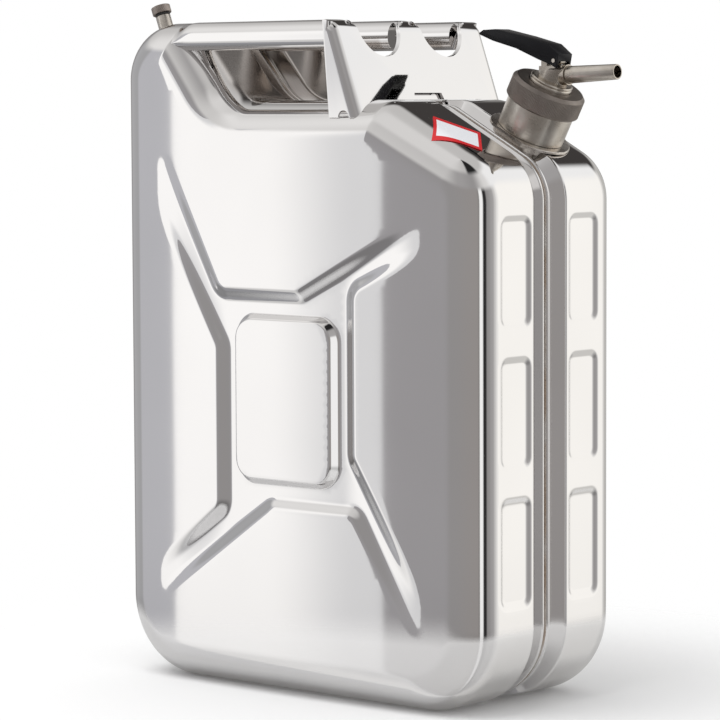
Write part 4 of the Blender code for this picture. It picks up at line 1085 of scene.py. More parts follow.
    def _section(self) -> list[tuple[float, float, float]]:
        """Section from the lip to the face: inset, distance from the seam, crown share."""
        closed = [
            (self.lip_edge_depth, self.lip_edge_y, 0.0),
            (CAN.lip_depth, self.lip_inner_y, self.lip_fillet),
            (CAN.lip_depth, self.lip_outer_y, self.lip_fillet),
            (CAN.channel_depth, self.lip_foot_y, self.lip_fillet),
            (CAN.channel_depth, CAN.channel_floor, self.fillet),
            (0.0, CAN.channel_half_width, self.edge_fillet), (0.0, CAN.rounding_start, 0.0),
            (-CAN.half_width, CAN.rounding_start, 0.0), (-CAN.half_width, self.lip_edge_y, 0.0),
        ]
        rounded = softened(closed, self.section_step)[:-3]
        section = [(inset, away, 0.0) for inset, away in rounded]
        start = rounded[-1][1]
        steps = round((CAN.rounding_start - start) / self.side_step)
        for step in range(1, steps + 1):
            section.append((0.0, start + (CAN.rounding_start - start) * step / steps, 0.0))
        radius = CAN.edge_rounding
        for step in range(1, self.arc_steps + 1):
            angle = math.pi / 2 * step / self.arc_steps
            section.append((radius * (1 - math.cos(angle)),
                            CAN.rounding_start + radius * math.sin(angle),
                            math.sin(angle) ** 2))
        return section

    def _pad_sink(self, away: float, heights: np.ndarray) -> np.ndarray:
        """How deep the pads sink at points of the narrow sides."""
        low_y = CAN.channel_half_width + self.pad_inner
        high_y = CAN.rounding_start - self.pad_outer
        sink = np.zeros(len(heights))
        for index in range(self.pad_count):
            low = self.pad_first + index * (self.pad_height + self.pad_gap)
            middle = np.array([(low_y + high_y) / 2, low + self.pad_height / 2])
            half = np.array([(high_y - low_y) / 2, self.pad_height / 2]) - self.pad_radius
            place = np.column_stack([np.full(len(heights), away), heights])
            over = np.abs(place - middle) - half
            outside = np.linalg.norm(np.maximum(over, 0.0), axis=1)
            depth = self.pad_radius - outside - np.minimum(over.max(axis=1), 0.0)
            sink += steady_rise(depth / self.pad_wall, self.steady_soft)
        return sink * self.pad_depth

    def _sheet(self) -> tuple[np.ndarray, list[tuple[int, ...]]]:
        """Points and faces of the front half's outer side, without its holes."""
        rings = []
        border_ring = self.outline.points(CAN.edge_rounding)
        crown = self.crown(border_ring)
        for inset, away, share in self._section():
            ring = self.outline.points(inset)
            if CAN.channel_half_width < away <= CAN.rounding_start:
                on_side = meets(np.abs(ring[:, 0]), CAN.half_width)
                sink = self._pad_sink(away, ring[:, 1])
                ring[:, 0] -= np.where(on_side, np.sign(ring[:, 0]) * sink, 0.0)
            rings.append(np.column_stack([ring[:, 0], -(away + crown * share), ring[:, 1]]))
        size = len(border_ring)
        sheet, triangles = self._face_sheet(border_ring)
        points = np.vstack(rings[:-1] + [sheet])
        base = (len(rings) - 1) * size
        faces = between_rings(len(rings), size)
        faces += [tuple(base + index for index in triangle) for triangle in triangles]
        return points, faces

    def half(self, name: str, sheet: tuple[np.ndarray, list[tuple[int, ...]]],
             hole: tuple[Matrix, float, float]) -> bpy.types.Object:
        """Make a half as an open sheet with its hole, then give it its thickness.

        Args:
            name: The piece's name.
            sheet: Points and faces of the front half's outer side.
            hole: The hole's place, radius and reach along its axis.

        Returns:
            The half, on the front side.
        """
        points, faces = self._opened(sheet[0].copy(), sheet[1], *hole)
        piece = Bench.meshed(name, points.tolist(), faces)
        with Bench.editing(piece):
            bpy.ops.mesh.select_all(action="SELECT")
            bpy.ops.mesh.delete_loose()
            Bench.close_up()
        if piece.data.polygons[-1].normal.y > 0:
            piece.data.flip_normals()
        Bench.apply(piece, "SOLIDIFY", thickness=CAN.sheet, offset=-1.0, use_even_offset=True)
        return piece

    def _face_sheet(self, border: np.ndarray) -> tuple[np.ndarray, list[tuple[int, ...]]]:
        """The broad face's points and triangles, its border first."""
        columns = np.arange(-CAN.half_width, CAN.half_width, self.lattice)
        rows = np.arange(0.0, CAN.height, self.lattice * self.lattice_rows)
        grid = np.array([(x + self.lattice / 2 * (index % 2), z)
                         for index, z in enumerate(rows) for x in columns])
        grid = grid[is_inside(border, grid)]
        room = self.lattice * self.lattice_room
        grid = grid[distance_to(self.border, grid) > room]
        loops = []
        walls = ((self.press, -self.press_outer, self.press_wall, self.press_step),
                 (self.sign, 0.0, self.plaque_wall, self.plaque_step))
        for outline, low, high, step in walls:
            around = [outline.points(inset)
                      for inset in np.linspace(low - step / 2, high + step / 2,
                                               round((high - low) / step) + 2)]
            between = is_inside(around[0], grid) & ~is_inside(around[-1], grid)
            near = np.minimum(distance_to(around[0], grid), distance_to(around[-1], grid))
            grid = grid[~between & (near > room)]
            loops += around
        flat = np.vstack([border, *loops, grid])
        count = len(border)
        edges = [(index, (index + 1) % count) for index in range(count)]
        found, _, triangles, _, _, _ = delaunay_2d_cdt([Vector(point) for point in flat],
                                                       edges, [], 0, 0.0000001)
        if len(found) != len(flat):
            raise ValueError("the broad face's points fall together")
        middles = np.array([flat[list(triangle)].mean(axis=0) for triangle in triangles])
        kept = is_inside(border, middles)
        heights = self.face_height(flat)
        heights[:count] = self.crown(flat[:count])
        sheet = np.column_stack([flat[:, 0], -(CAN.depth / 2 + heights), flat[:, 1]])
        return sheet, [triangle for triangle, keep in zip(triangles, kept) if keep]

    @staticmethod
    def _opened(points: np.ndarray, faces: list[tuple[int, ...]], place: Matrix,
                radius: float, reach: float) -> tuple[np.ndarray, list[tuple[int, ...]]]:
        """Open a round hole, and draw the points at its rim on to a circle."""
        inverse = np.array(place.inverted())
        local = points @ inverse[:3, :3].T + inverse[:3, 3]
        away = np.linalg.norm(local[:, :2], axis=1)
        near = np.abs(local[:, 2]) < reach
        kept = []
        rim: set[int] = set()
        for face in faces:
            ids = list(face)
            if near[ids].all() and away[ids].mean() < radius:
                rim.update(ids)
            else:
                kept.append(face)
        used = set()
        for face in kept:
            used.update(face)
        rim &= used
        for index in rim:
            local[index, :2] *= radius / away[index]
        matrix = np.array(place)
        moved = local @ matrix[:3, :3].T + matrix[:3, 3]
        ids = sorted(rim)
        points[ids] = moved[ids]
        return points, kept

    def build(self, assembly: Assembly) -> None:
        """Make both halves."""
        sheet = self._sheet()
        vent = BleedVent()
        front = self.half("front_half", sheet, (
            vent.place, self.vent_radius + self.hole_gap, self.vent_reach))
        x, y, z = CAN.neck_base
        mirrored = Matrix.Translation((x, -y, z)) @ Matrix.Rotation(CAN.deck_slope, 4, "Y")
        rear = self.half("rear_half", sheet, (
            mirrored, self.collar_radius + self.hole_gap, self.collar_reach))
        rear.data.transform(Matrix.Scale(-1.0, 4, (0.0, 1.0, 0.0)))
        rear.data.flip_normals()
        for piece, node in ((front, "front_shell"), (rear, "rear_shell")):
            Bench.settle(piece, angle=math.radians(50))
            assembly.add(piece, Body.CAN, Slot.STEEL, node)


@dataclass
class SeamWeld:
    """The weld that runs all the way round between the two lips."""

    radius: float = 0.0011
    depth: float = 0.0048
    spacing: float = 0.0011
    fullness: float = 0.85
    ripple: float = 0.0023
    ripple_share: float = 0.10
    roughness: float = 0.05

    def build(self, assembly: Assembly) -> None:
        """Sweep the bead along the lips."""
        points = Outline(CAN.corners(), self.spacing).points(self.depth)
        count = len(points)
        curve = bpy.data.curves.new("seam_bead", "CURVE")
        curve.dimensions = "3D"
        curve.bevel_depth = self.radius
        curve.bevel_resolution = 3
        spline = curve.splines.new("POLY")
        spline.points.add(count - 1)
        spline.use_cyclic_u = True
        random = np.random.default_rng(7)
        rough = random.normal(0.0, self.roughness, count)
        travelled = 0.0
        before = points[0]
        for index, (point, (x, z)) in enumerate(zip(spline.points, points)):
            travelled += math.dist(before, (x, z))
            before = (x, z)
            point.co = (x, 0.0, z, 1.0)
            wave = self.ripple_share * math.sin(math.tau * travelled / self.ripple)
            point.radius = min(1.0, self.fullness + wave + rough[index])
        Bench.choose(Bench.linked("seam_bead", curve))
        bpy.ops.object.convert(target="MESH")
        piece = Bench.named("seam_bead")
        with Bench.editing(piece):
            Bench.close_up(0.00001)
        Bench.settle(piece, angle=math.radians(60))
        assembly.add(piece, Body.CAN, Slot.WELD, "seam_weld_bead")


def can_blank(growth: float, spacing: float = 0.004, steps: int = 10) -> bpy.types.Object:
    """The can without its seam channel, as a cutter for what rests on it.

    Args:
        growth: How far the cutter stands out from the can.
        spacing: Distance between its points.
        steps: How many steps its edge rounding takes.

    Returns:
        The cutter.
    """
    outline = Outline(CAN.corners(), spacing)
    reach = CAN.edge_rounding + growth
    near = []
    for step in range(steps + 1):
        angle = math.pi / 2 * step / steps
        near.append((CAN.edge_rounding - reach * math.cos(angle),
                     CAN.rounding_start + reach * math.sin(angle)))
    section = [(inset, -away) for inset, away in reversed(near)] + near
    rings = [[(x, away, z) for x, z in outline.points(inset)] for inset, away in section]
    size, count = len(rings[0]), len(rings)
    ends = [tuple(range(size)), tuple(range(size * (count - 1), size * count))]
    blank = Bench.meshed("can_blank", [point for ring in rings for point in ring],
                         ends + between_rings(count, size))
    with Bench.editing(blank):
        Bench.close_up()
    return blank


@dataclass
class CarryingBars:
    """Three pressed bars from the hump to the bracket."""

    spacing: float = 0.069
    width: float = 0.024
    height: float = 0.0205
    top_radius: float = 0.011
    bottom_radius: float = 0.008
    overlap: float = 0.020
    merge_start: float = 0.012
    merge_speed: float = 1.6
    right: float = 0.0337
    bend_steps: int = 10
    cuts: int = 39

    def build(self, assembly: Assembly, blank: bpy.types.Object) -> None:
        """Make the bars and fit each to the hump."""
        names = {"front_bar": ("front_handle_bar", -self.spacing),
                 "middle_bar": ("middle_handle_bar", 0.0),
                 "rear_bar": ("rear_handle_bar", self.spacing)}
        hump = CAN.recess_foot_x - CAN.recess_depth / math.tan(CAN.recess_slope)
        for name, (node, y) in names.items():
            piece = Bench.box(
                name, (hump - self.overlap, y - self.width / 2, CAN.height - self.height),
                (self.right, y + self.width / 2, CAN.height))
            for level, radius in ((CAN.height, self.top_radius),
                                  (CAN.height - self.height, self.bottom_radius)):
                Bench.bevel_edges(piece, lambda start, end, level=level: (
                    self._is_long(start, end) and meets(start.z, level)
                    and meets(end.z, level)), radius, self.bend_steps)
            with Bench.editing(piece, "EDGE"):
                Bench.pick_edges(piece, self._is_long)
                bpy.ops.mesh.subdivide(number_cuts=self.cuts)
            self._merge(piece, hump)
            Bench.cut(piece, blank, keep=True)
            Bench.settle(piece)
            assembly.add(piece, Body.CAN, Slot.STEEL, node)

    def _is_long(self, start: Vector, end: Vector) -> bool:
        """Whether an edge runs along the bar."""
        return abs(start.x - end.x) > 2 * self.width

    def _merge(self, piece: bpy.types.Object, hump: float) -> None:
        """Bring a bar's left end below the rounding of the can's edge."""
        radius = CAN.edge_rounding
        for vertex in piece.data.vertices:
            share = (hump + self.merge_start - vertex.co.x) / (self.overlap + self.merge_start)
            over = min(max(0.0, abs(vertex.co.y) - CAN.rounding_start), radius)
            top = CAN.height - radius + math.sqrt(radius ** 2 - over ** 2)
            if share > 0.0 and vertex.co.z > top:
                sunk = float(smooth_step(np.array(share * self.merge_speed)))
                vertex.co.z += (top - vertex.co.z) * sunk


@dataclass
class HandleBracket:
    """The folded sheet that holds the bars' right ends."""

    left_x: float = 0.034
    foot_left_x: float = 0.040
    top_x: float = 0.0425
    foot_x: float = 0.0675
    width: float = 0.166
    drop: float = 0.069
    sheet: float = 0.0015
    bend: float = 0.007
    top_bend: float = 0.008
    bar_spacing: float = 0.069
    bar_width: float = 0.024
    scallop_depth: float = 0.026
    flare: float = 0.009
    rim_depth: float = 0.0034
    rim_sheet: float = 0.0011
    rim_drop: float = 0.0011
    rim_seat: float = 0.0002
    rim_bend: float = 0.4
    drain_radius: float = 0.005
    drain_inset: float = 0.014
    notch_width: float = 0.040
    notch_height: float = 0.005
    plate_inset: float = 0.0071
    top_steps: int = 12
    bend_steps: int = 8
    bottom_steps: int = 24
    flare_steps: int = 12

    def build(self, assembly: Assembly, blank: bpy.types.Object) -> None:
        """Fold the sheet and cut its edges."""
        foot_z = CAN.height - self.drop
        piece = Bench.box("bar_bracket", (self.left_x, -self.width / 2, foot_z),
                          (self.foot_x, self.width / 2, CAN.height))
        for vertex in piece.data.vertices:
            high, left = not meets(vertex.co.z, foot_z), meets(vertex.co.x, self.left_x)
            if high and not left:
                vertex.co.x = self.top_x
            elif left and not high:
                vertex.co.x = self.foot_left_x
        with Bench.editing(piece):
            Bench.pick_faces(piece, lambda face: min(face.normal.x, face.normal.z) < -0.9)
            bpy.ops.mesh.delete(type="FACE")
        Bench.bevel_edges(piece, lambda start, end: all(
            meets(at.x, self.top_x) and meets(at.z, CAN.height) for at in (start, end)),
            self.top_bend, self.top_steps)
        Bench.bevel_edges(piece, lambda start, end: (
            meets(start.y, end.y) and meets(abs(start.y), self.width / 2)
            and max(start.x, end.x) > self.foot_left_x + 0.00001
            and not (meets(start.z, foot_z) and meets(end.z, foot_z))),
            self.bend, self.bend_steps)
        Bench.apply(piece, "SOLIDIFY", thickness=self.sheet, offset=-1.0,
                    use_even_offset=True)
        Bench.cut(piece, blank, keep=True)
        Bench.cut(piece, *self._cutters(foot_z))
        rims = [self._rim(middle) for middle in (-self.bar_spacing / 2, self.bar_spacing / 2)]
        plate = self._plate()
        Bench.choose(piece)
        for other in (*rims, plate):
            other.select_set(True)
        bpy.ops.object.join()
        Bench.settle(piece)
        assembly.add(piece, Body.CAN, Slot.STEEL, "handle_bracket")

    def _plate(self) -> bpy.types.Object:
        """The plate behind the notch over the seam, parallel to the sloping face."""
        right = self.foot_x - self.plate_inset
        half = self.notch_width / 2 + self.sheet
        low, high = CAN.recess_floor + CAN.seat_gap, CAN.recess_floor + 2 * self.notch_height
        plate = Bench.box("notch_plate", (right - self.sheet, -half, low), (right, half, high))
        lean = (self.foot_x - self.top_x) / self.drop
        for vertex in plate.data.vertices:
            vertex.co.x -= lean * (vertex.co.z - CAN.recess_floor)
        return plate

    def _scallop_half(self) -> list[tuple[float, float]]:
        """Half of a scallop's outline, from its bottom up and out over a bar's top."""
        reach = (self.bar_spacing - self.bar_width) / 2 + self.flare
        drop = self.scallop_depth - self.flare
        radius = (reach ** 2 + drop ** 2 - self.flare ** 2) / (2 * self.scallop_depth)
        lean = math.atan2(radius - drop, reach)
        centre_z = CAN.height - self.scallop_depth + radius
        outline = []
        for step in range(self.bottom_steps + 1):
            angle = (math.pi / 2 - lean) * step / self.bottom_steps
            outline.append((radius * math.sin(angle), centre_z - radius * math.cos(angle)))
        for step in range(1, self.flare_steps + 1):
            angle = lean + (math.pi / 2 - lean) * step / self.flare_steps
            outline.append((reach - self.flare * math.cos(angle),
                            CAN.height - self.flare + self.flare * math.sin(angle)))
        return outline

    def _rim(self, middle: float) -> bpy.types.Object:
        """A scallop's rim, turned back from the sloping face."""
        half = self._scallop_half()[:-2]
        line = [(-across, z) for across, z in reversed(half[1:])] + half
        slope = (self.top_x - self.foot_x) / self.drop
        bpy.ops.mesh.primitive_grid_add(x_subdivisions=len(line) - 1, y_subdivisions=4, size=1.0)
        rim = Bench.named("scallop_rim")
        for vertex in rim.data.vertices:
            across, z = line[round((vertex.co.x + 0.5) * (len(line) - 1))]
            share = vertex.co.y + 0.5
            face_x = self.top_x + slope * (z - CAN.height) - self.rim_seat
            bent = math.sin(math.pi / 2 * min(1.0, share / self.rim_bend))
            vertex.co = (face_x - self.rim_depth * share, middle + across,
                         z - self.rim_drop * (1.0 - bent))
        Bench.apply(rim, "SOLIDIFY", thickness=self.rim_sheet,
                    offset=-1.0 if rim.data.polygons[0].normal.z > 0 else 1.0)
        return rim

    def _cutters(self, foot_z: float) -> list[bpy.types.Object]:
        """Scallops, drain arches and the notch over the seam."""
        low_x, high_x = self.left_x - self.bar_width, self.foot_x + self.bar_width
        half = self._scallop_half()
        half.append((half[-1][0], CAN.height + self.flare))
        cutters = []
        for middle in (-self.bar_spacing / 2, self.bar_spacing / 2):
            outline = [(middle + across, z) for across, z in half]
            outline += [(middle - across, z) for across, z in reversed(half[1:])]
            scallop = Bench.prism("scallop", outline, -high_x, -low_x)
            scallop.data.transform(Matrix.Rotation(math.pi / 2, 4, "Z"))
            cutters.append(scallop)
        place = (Matrix.Translation((self.foot_x - self.drain_inset, 0.0, foot_z))
                 @ Matrix.Rotation(math.pi / 2, 4, "X"))
        cutters.append(Bench.rod("drain", self.drain_radius, -self.width, self.width, place))
        foot = self.notch_width / 2
        notch = Bench.box("notch", (low_x, -foot, foot_z),
                          (high_x, foot, CAN.recess_floor + self.notch_height))
        for vertex in notch.data.vertices:
            if vertex.co.z > CAN.recess_floor:
                vertex.co.y *= (foot - self.notch_height) / foot
        cutters.append(notch)
        return cutters


@dataclass
class FillerNeck:
    """Collar and neck, welded to each other."""

    flange_radius: float = 0.0305
    flange_height: float = 0.0018
    flange_front: float = 0.0027
    skirt_radius: float = 0.0262
    skirt_depth: float = 0.0065
    skirt_front: float = 0.0056
    collar_bore: float = 0.0219
    collar_depth: float = 0.018
    collar_wall: float = 0.0012
    radius: float = 0.0245
    wall: float = 0.002
    top: float = 0.027
    weld_wave: float = 0.00012
    weld_drop: float = 0.0003
    weld_draw: float = 0.004
    weld_waves: tuple[int, ...] = (5, 9, 13, 17, 21, 25)
    weld_start: float = 0.003

    def build(self, assembly: Assembly) -> None:
        """Turn both pieces."""
        outer = self.collar_bore + self.collar_wall
        thin = self.flange_height
        collar = Bench.turned("deck_collar", [
            (self.collar_bore, 0.0, 0.0), (self.collar_bore, -self.collar_depth, 0.0),
            (outer, -self.collar_depth, 0.0), (outer, -self.skirt_depth, 0.0),
            (self.skirt_radius, -self.skirt_depth, 0.0), (self.skirt_radius, -thin, 0.0),
            (self.flange_radius, -thin, 0.0004), (self.flange_radius, 0.0, 0.0009),
        ])
        far = 2 * self.flange_radius
        for low, high, front in ((-thin * 1.5, thin, self.flange_front),
                                 (-self.collar_depth, -thin, self.skirt_front)):
            Bench.cut(collar, Bench.box("collar_front", (-far, -far, low),
                                        (far, front - CAN.neck_y, high)))
        self._roughen(collar)
        bore = self.radius - self.wall
        neck = Bench.turned("threaded_neck", [
            (bore, self.top, 0.0), (bore, CAN.seat_gap, 0.0),
            (self.radius, CAN.seat_gap, 0.0), (self.radius, self.top, 0.0006),
        ])
        for piece in (collar, neck):
            Bench.settle(piece, CAN.neck_place)
        assembly.add(collar, Body.CAN, Slot.STEEL, "neck_collar",
                     finish=assembly.finishes.welded)
        assembly.add(neck, Body.CAN, Slot.SATIN, "filler_neck")

    def _roughen(self, collar: bpy.types.Object) -> None:
        """Make the welded flange's edge uneven."""
        random = np.random.default_rng(11)
        phases = random.uniform(0.0, math.tau, len(self.weld_waves))
        for vertex in collar.data.vertices:
            if vertex.co.z < -self.flange_height - 0.0005:
                continue
            angle = math.atan2(vertex.co.y, vertex.co.x)
            wave = sum(math.sin(angle * count + phase)
                       for count, phase in zip(self.weld_waves, phases))
            away = math.hypot(vertex.co.x, vertex.co.y) - self.radius
            share = max(0.0, (away - self.weld_start) / (self.flange_radius - self.radius))
            vertex.co.z += (self.weld_wave * wave - self.weld_drop) * share
            scale = 1.0 - self.weld_draw * share * (1.0 + 0.4 * wave)
            vertex.co.x *= scale
            vertex.co.y *= scale


@dataclass
class UnionNut:
    """The knurled nut that clamps the tap."""

    radius: float = 0.0272
    bottom: float = 0.0218
    height: float = 0.0164
    chamfer: float = 0.0024
    bore: float = 0.0249
    web: float = 0.0353
    eye: float = 0.0161
    ridges: int = 150
    ridge_depth: float = 0.00022

    def build(self, assembly: Assembly) -> None:
        """Turn the nut, then press the knurl in."""
        top = self.bottom + self.height
        soft = 0.0003
        nut = Bench.turned("knurled_nut", [
            (self.eye, top, soft), (self.eye, self.web, 0.0), (self.bore, self.web, 0.0),
            (self.bore, self.bottom, 0.0), (self.radius - self.chamfer / 2, self.bottom, soft),
            (self.radius, self.bottom + self.chamfer / 2, soft),
            (self.radius, top - self.chamfer, soft), (self.radius - self.chamfer, top, soft),
        ], steps=self.ridges * 2)

        def pressed(away: float, angle: float) -> float:
            """Share of its distance that a point keeps, less at every second step."""
            step = round(angle / math.tau * self.ridges * 2)
            return 1.0 - self.ridge_depth / away * (step % 2)

        Bench.knurl(nut, self.radius - soft, pressed)
        Bench.settle(nut, CAN.neck_place)
        assembly.add(nut, Body.NUT, Slot.NUT, "union_nut")


@dataclass
class Tap:
    """Tap body with its horn, and the outlet tube."""

    bottom: float = 0.0307
    flange_top: float = 0.0349
    ring_top: float = 0.0424
    flange_radius: float = 0.0241
    ring_radius: float = 0.0157
    ring_height: float = 0.0040
    groove: float = 0.0008
    housing_radius: float = 0.0112
    housing_height: float = 0.0075
    post_height: float = 0.0107
    post_width: float = 0.0104
    post_length: float = 0.0200
    stem_bore: float = 0.0024
    tube_height: float = 0.0452
    tube_reach: float = 0.0560
    tube_rise: float = math.radians(2.5)
    tube_root: float = 0.0062
    tube_mouth: float = 0.0054
    tube_bore: float = 0.0044
    tube_start: float = 0.0105
    boss_length: float = 0.0135
    boss_wall: float = 0.0008

    @property
    def tube_place(self) -> Matrix:
        """Place of the tube, whose local Z runs to its mouth."""
        origin = CAN.neck_base + CAN.neck_axis * self.tube_height
        turn = Matrix.Rotation(math.pi / 2 - self.tube_rise, 4, "Y")
        return Matrix.Translation(origin) @ turn

    def build(self, assembly: Assembly) -> None:
        """Make the body and the tube."""
        body = self._body()
        Bench.settle(body)
        assembly.add(body, Body.TAP, Slot.SATIN, "tap_body")
        soft = (self.tube_mouth - self.tube_bore) * 0.4
        root = self.boss_length + self.boss_wall
        tube = Bench.turned("pouring_tube", [
            (self.tube_bore, self.tube_reach, 0.0), (self.tube_bore, self.tube_start, 0.0),
            (self.tube_root, self.tube_start, 0.0), (self.tube_root, root, 0.002),
            (self.tube_mouth, self.tube_reach, soft),
        ], steps=64)
        Bench.settle(tube, self.tube_place)
        assembly.add(tube, Body.TAP, Slot.SATIN, "outlet_tube")

    def _body(self) -> bpy.types.Object:
        """Turn the body, cut it level, and join the boss, post and horn."""
        hub = self.ring_radius
        middle = self.ring_top - self.ring_height / 2
        soft = 0.0004
        groove = self.groove
        high = self.ring_top + 3 * self.housing_radius
        body = Bench.turned("tap_housing", [
            (0.0, high, 0.0), (0.0, self.bottom, 0.0), (self.flange_radius, self.bottom, 0.0),
            (self.flange_radius, self.flange_top, 0.0), (hub, self.flange_top, 0.0),
            (hub, middle - groove, soft), (hub - groove, middle, 0.0),
            (hub, middle + groove, soft), (hub, self.ring_top - groove, soft),
            (hub - groove, self.ring_top, soft), (self.housing_radius, self.ring_top, 0.0),
            (self.housing_radius, high, 0.0),
        ])
        body.data.transform(CAN.neck_place)
        lever = Lever()
        housing_z = (CAN.neck_base + CAN.neck_axis * (self.ring_top + self.housing_height)).z
        post_z = (CAN.neck_base + CAN.neck_axis * (self.ring_top + self.post_height)).z
        far = 4 * self.housing_radius
        left = lever.pin_place.x - lever.fulcrum_reach - lever.fulcrum_length
        above = Bench.box("above", (left - far, CAN.neck_y - far, housing_z),
                          (left + 2 * far, CAN.neck_y + far, housing_z + far))
        Bench.cut(body, above)
        near, away = (CAN.neck_y + side * self.post_width / 2 for side in (-1, 1))
        socket_radius = self.tube_root + CAN.seat_gap
        boss = Bench.rod("boss", socket_radius + self.boss_wall, 0.0, self.boss_length,
                         self.tube_place)
        post = Bench.box("post", (left + 0.0005, near, housing_z - self.housing_height / 2),
                         (left + self.post_length, away, post_z))
        Bench.unite(body, boss, post, lever.horn(self.post_width))
        stem = Bench.rod("stem_bore", self.stem_bore, self.bottom - 0.001, high,
                         CAN.neck_place, steps=32)
        socket = Bench.rod("socket", socket_radius, self.tube_start - CAN.seat_gap,
                           self.tube_reach, self.tube_place)
        Bench.cut(body, stem, socket)
        Bench.soften(body, 0.0003, math.radians(40))
        return body


@dataclass
class Lever:
    """The black lever, which rocks on the tap's horn."""

    pin_height: float = 0.0572
    pin_radius: float = 0.0015
    eye_radius: float = 0.0028
    width: float = 0.016
    cheek: float = 0.0022
    roof: float = 0.0026
    reach: float = 0.0675
    rise: float = 0.0213
    heel: float = 0.0045
    knee: tuple[float, float] = (-0.0048, 0.0117)
    brow: tuple[float, float] = (-0.0270, 0.0174)
    slot_top: float = -0.0006
    fulcrum_reach: float = 0.0105
    fulcrum_length: float = 0.005
    running_gap: float = 0.0004

    @property
    def pin_place(self) -> Vector:
        """Centre of the pin, in the can's own axes."""
        return CAN.neck_base + CAN.neck_axis * self.pin_height

    def side_view(self) -> list[tuple[float, float]]:
        """Outline of the lever, counter-clockwise from its heel, from the pin."""
        tip_x, tip_z = -self.reach, self.rise
        return [
            (self.heel - 0.0020, -0.0056), (self.heel, 0.0045), self.knee,
            self.brow, (tip_x + 0.0150, tip_z + 0.0016),
            (tip_x + 0.0040, tip_z + 0.0012), (tip_x, tip_z - 0.0010),
            (tip_x + 0.0010, tip_z - 0.0022), (tip_x + 0.0130, tip_z - 0.0067),
            (-0.0336, 0.0090), (-0.0137, 0.0010), (-0.0020, -0.0030),
        ]

    def hollow_view(self) -> list[tuple[float, float]]:
        """Outline of the hollow below the lever's roof, from the pin."""
        roof = self.roof
        tip_x = -self.reach
        heel = self.eye_radius + self.running_gap
        low = -3 * self.eye_radius
        (knee_x, knee_z), (brow_x, brow_z) = self.knee, self.brow
        return [
            (self.heel + roof, low), (self.heel + roof, self.slot_top),
            (heel, self.slot_top), (heel, 0.0036), (knee_x - roof * 0.5, knee_z - roof),
            (brow_x - roof * 0.2, brow_z - roof), (tip_x + 0.0150, self.rise + 0.0016 - roof),
            (tip_x + 0.0105, self.rise - roof), (tip_x + 0.0105, low),
        ]

    def horn(self, width: float) -> bpy.types.Object:
        """The tap's horn, which the lever's roof rocks on, in the can's own axes."""
        left = -self.fulcrum_reach - self.fulcrum_length / 2
        right = left + self.fulcrum_length
        (knee_x, knee_z), (brow_x, brow_z) = self.knee, self.brow
        slope = (brow_z - knee_z) / (knee_x - brow_x)
        low = -self.fulcrum_reach

        def below_roof(x: float) -> float:
            """Height just below the roof."""
            return knee_z - (x - knee_x) * slope - self.roof - 2 * self.running_gap

        outline = [
            (left, low), (right, low), (right, below_roof(right) - self.fulcrum_length / 4),
            (low, below_roof(low)), (left, below_roof(left) - self.fulcrum_length / 4),
        ]
        piece = Bench.prism("horn", outline, -width / 2, width / 2)
        piece.data.transform(Matrix.Translation(self.pin_place))
        return piece

    def build(self, assembly: Assembly) -> None:
        """Make the lever."""
        half = self.width / 2
        lever = Bench.prism("black_lever", self.side_view(), -half, half)
        inner = half - self.cheek
        hollow = Bench.prism("hollow", self.hollow_view(), -inner, inner)
        hole = Bench.rod("pin_hole", self.pin_radius + CAN.seat_gap, -self.width, self.width,
                         Matrix.Rotation(math.pi / 2, 4, "X"), steps=32)
        Bench.cut(lever, hollow, hole)
        Bench.soften(lever, 0.0006, math.radians(35))
        Bench.settle(lever, Matrix.Translation(self.pin_place))
        assembly.add(lever, Body.LEVER, Slot.PLASTIC, "tap_lever")


@dataclass
class BleedVent:
    """Socket and knurled cap on the left shoulder."""

    inset: float = 0.0195
    y: float = -0.0475
    tilt: float = math.radians(21)
    socket_radius: float = 0.0056
    socket_length: float = 0.0195
    buried: float = 0.006
    bore: float = 0.0027
    seal_height: float = 0.0012
    cap_radius: float = 0.0072
    cap_height: float = 0.0058
    screw_length: float = 0.009
    screw_gap: float = 0.0004
    ridges: int = 36
    ridge_share: float = 0.018

    @property
    def place(self) -> Matrix:
        """Place of the vent, whose local Z points out of the shoulder."""
        radius = CAN.hump_left_radius
        arm = radius - self.inset
        z = CAN.height - radius + math.sqrt(radius ** 2 - arm ** 2)
        turn = Matrix.Rotation(-self.tilt, 4, "Y")
        return Matrix.Translation((self.inset - CAN.half_width, self.y, z)) @ turn

    def build(self, assembly: Assembly) -> None:
        """Turn the socket and the cap."""
        top = self.socket_length - self.buried
        socket = Bench.turned("vent_pillar", [
            (self.bore, top, 0.0), (self.bore, -self.buried, 0.0),
            (self.socket_radius, -self.buried, 0.0), (self.socket_radius, top, 0.0005),
        ], steps=48)
        low = top + CAN.seat_gap + self.seal_height + CAN.seat_gap
        high = low + self.cap_height
        stud = self.bore - self.screw_gap
        dish = self.cap_radius * 0.7
        soft = 0.0004
        cap = Bench.turned("vent_screw", [
            (0.0, high - soft, 0.0), (0.0, low - self.screw_length, 0.0),
            (stud, low - self.screw_length, 0.0), (stud, low, 0.0),
            (self.cap_radius, low, soft), (self.cap_radius, high, soft),
            (dish, high, soft), (dish, high - soft, 0.0),
        ], steps=self.ridges * 4, spacing=0.0002)
        Bench.knurl(cap, self.cap_radius - soft * 0.8, lambda away, angle: (
            1.0 - self.ridge_share * (1.0 + math.cos(angle * self.ridges)) / 2))
        Bench.settle(socket, self.place)
        Bench.settle(cap, self.place)
        assembly.add(socket, Body.CAN, Slot.SATIN, "vent_socket")
        assembly.add(cap, Body.VENT_CAP, Slot.VENT, "vent_cap")


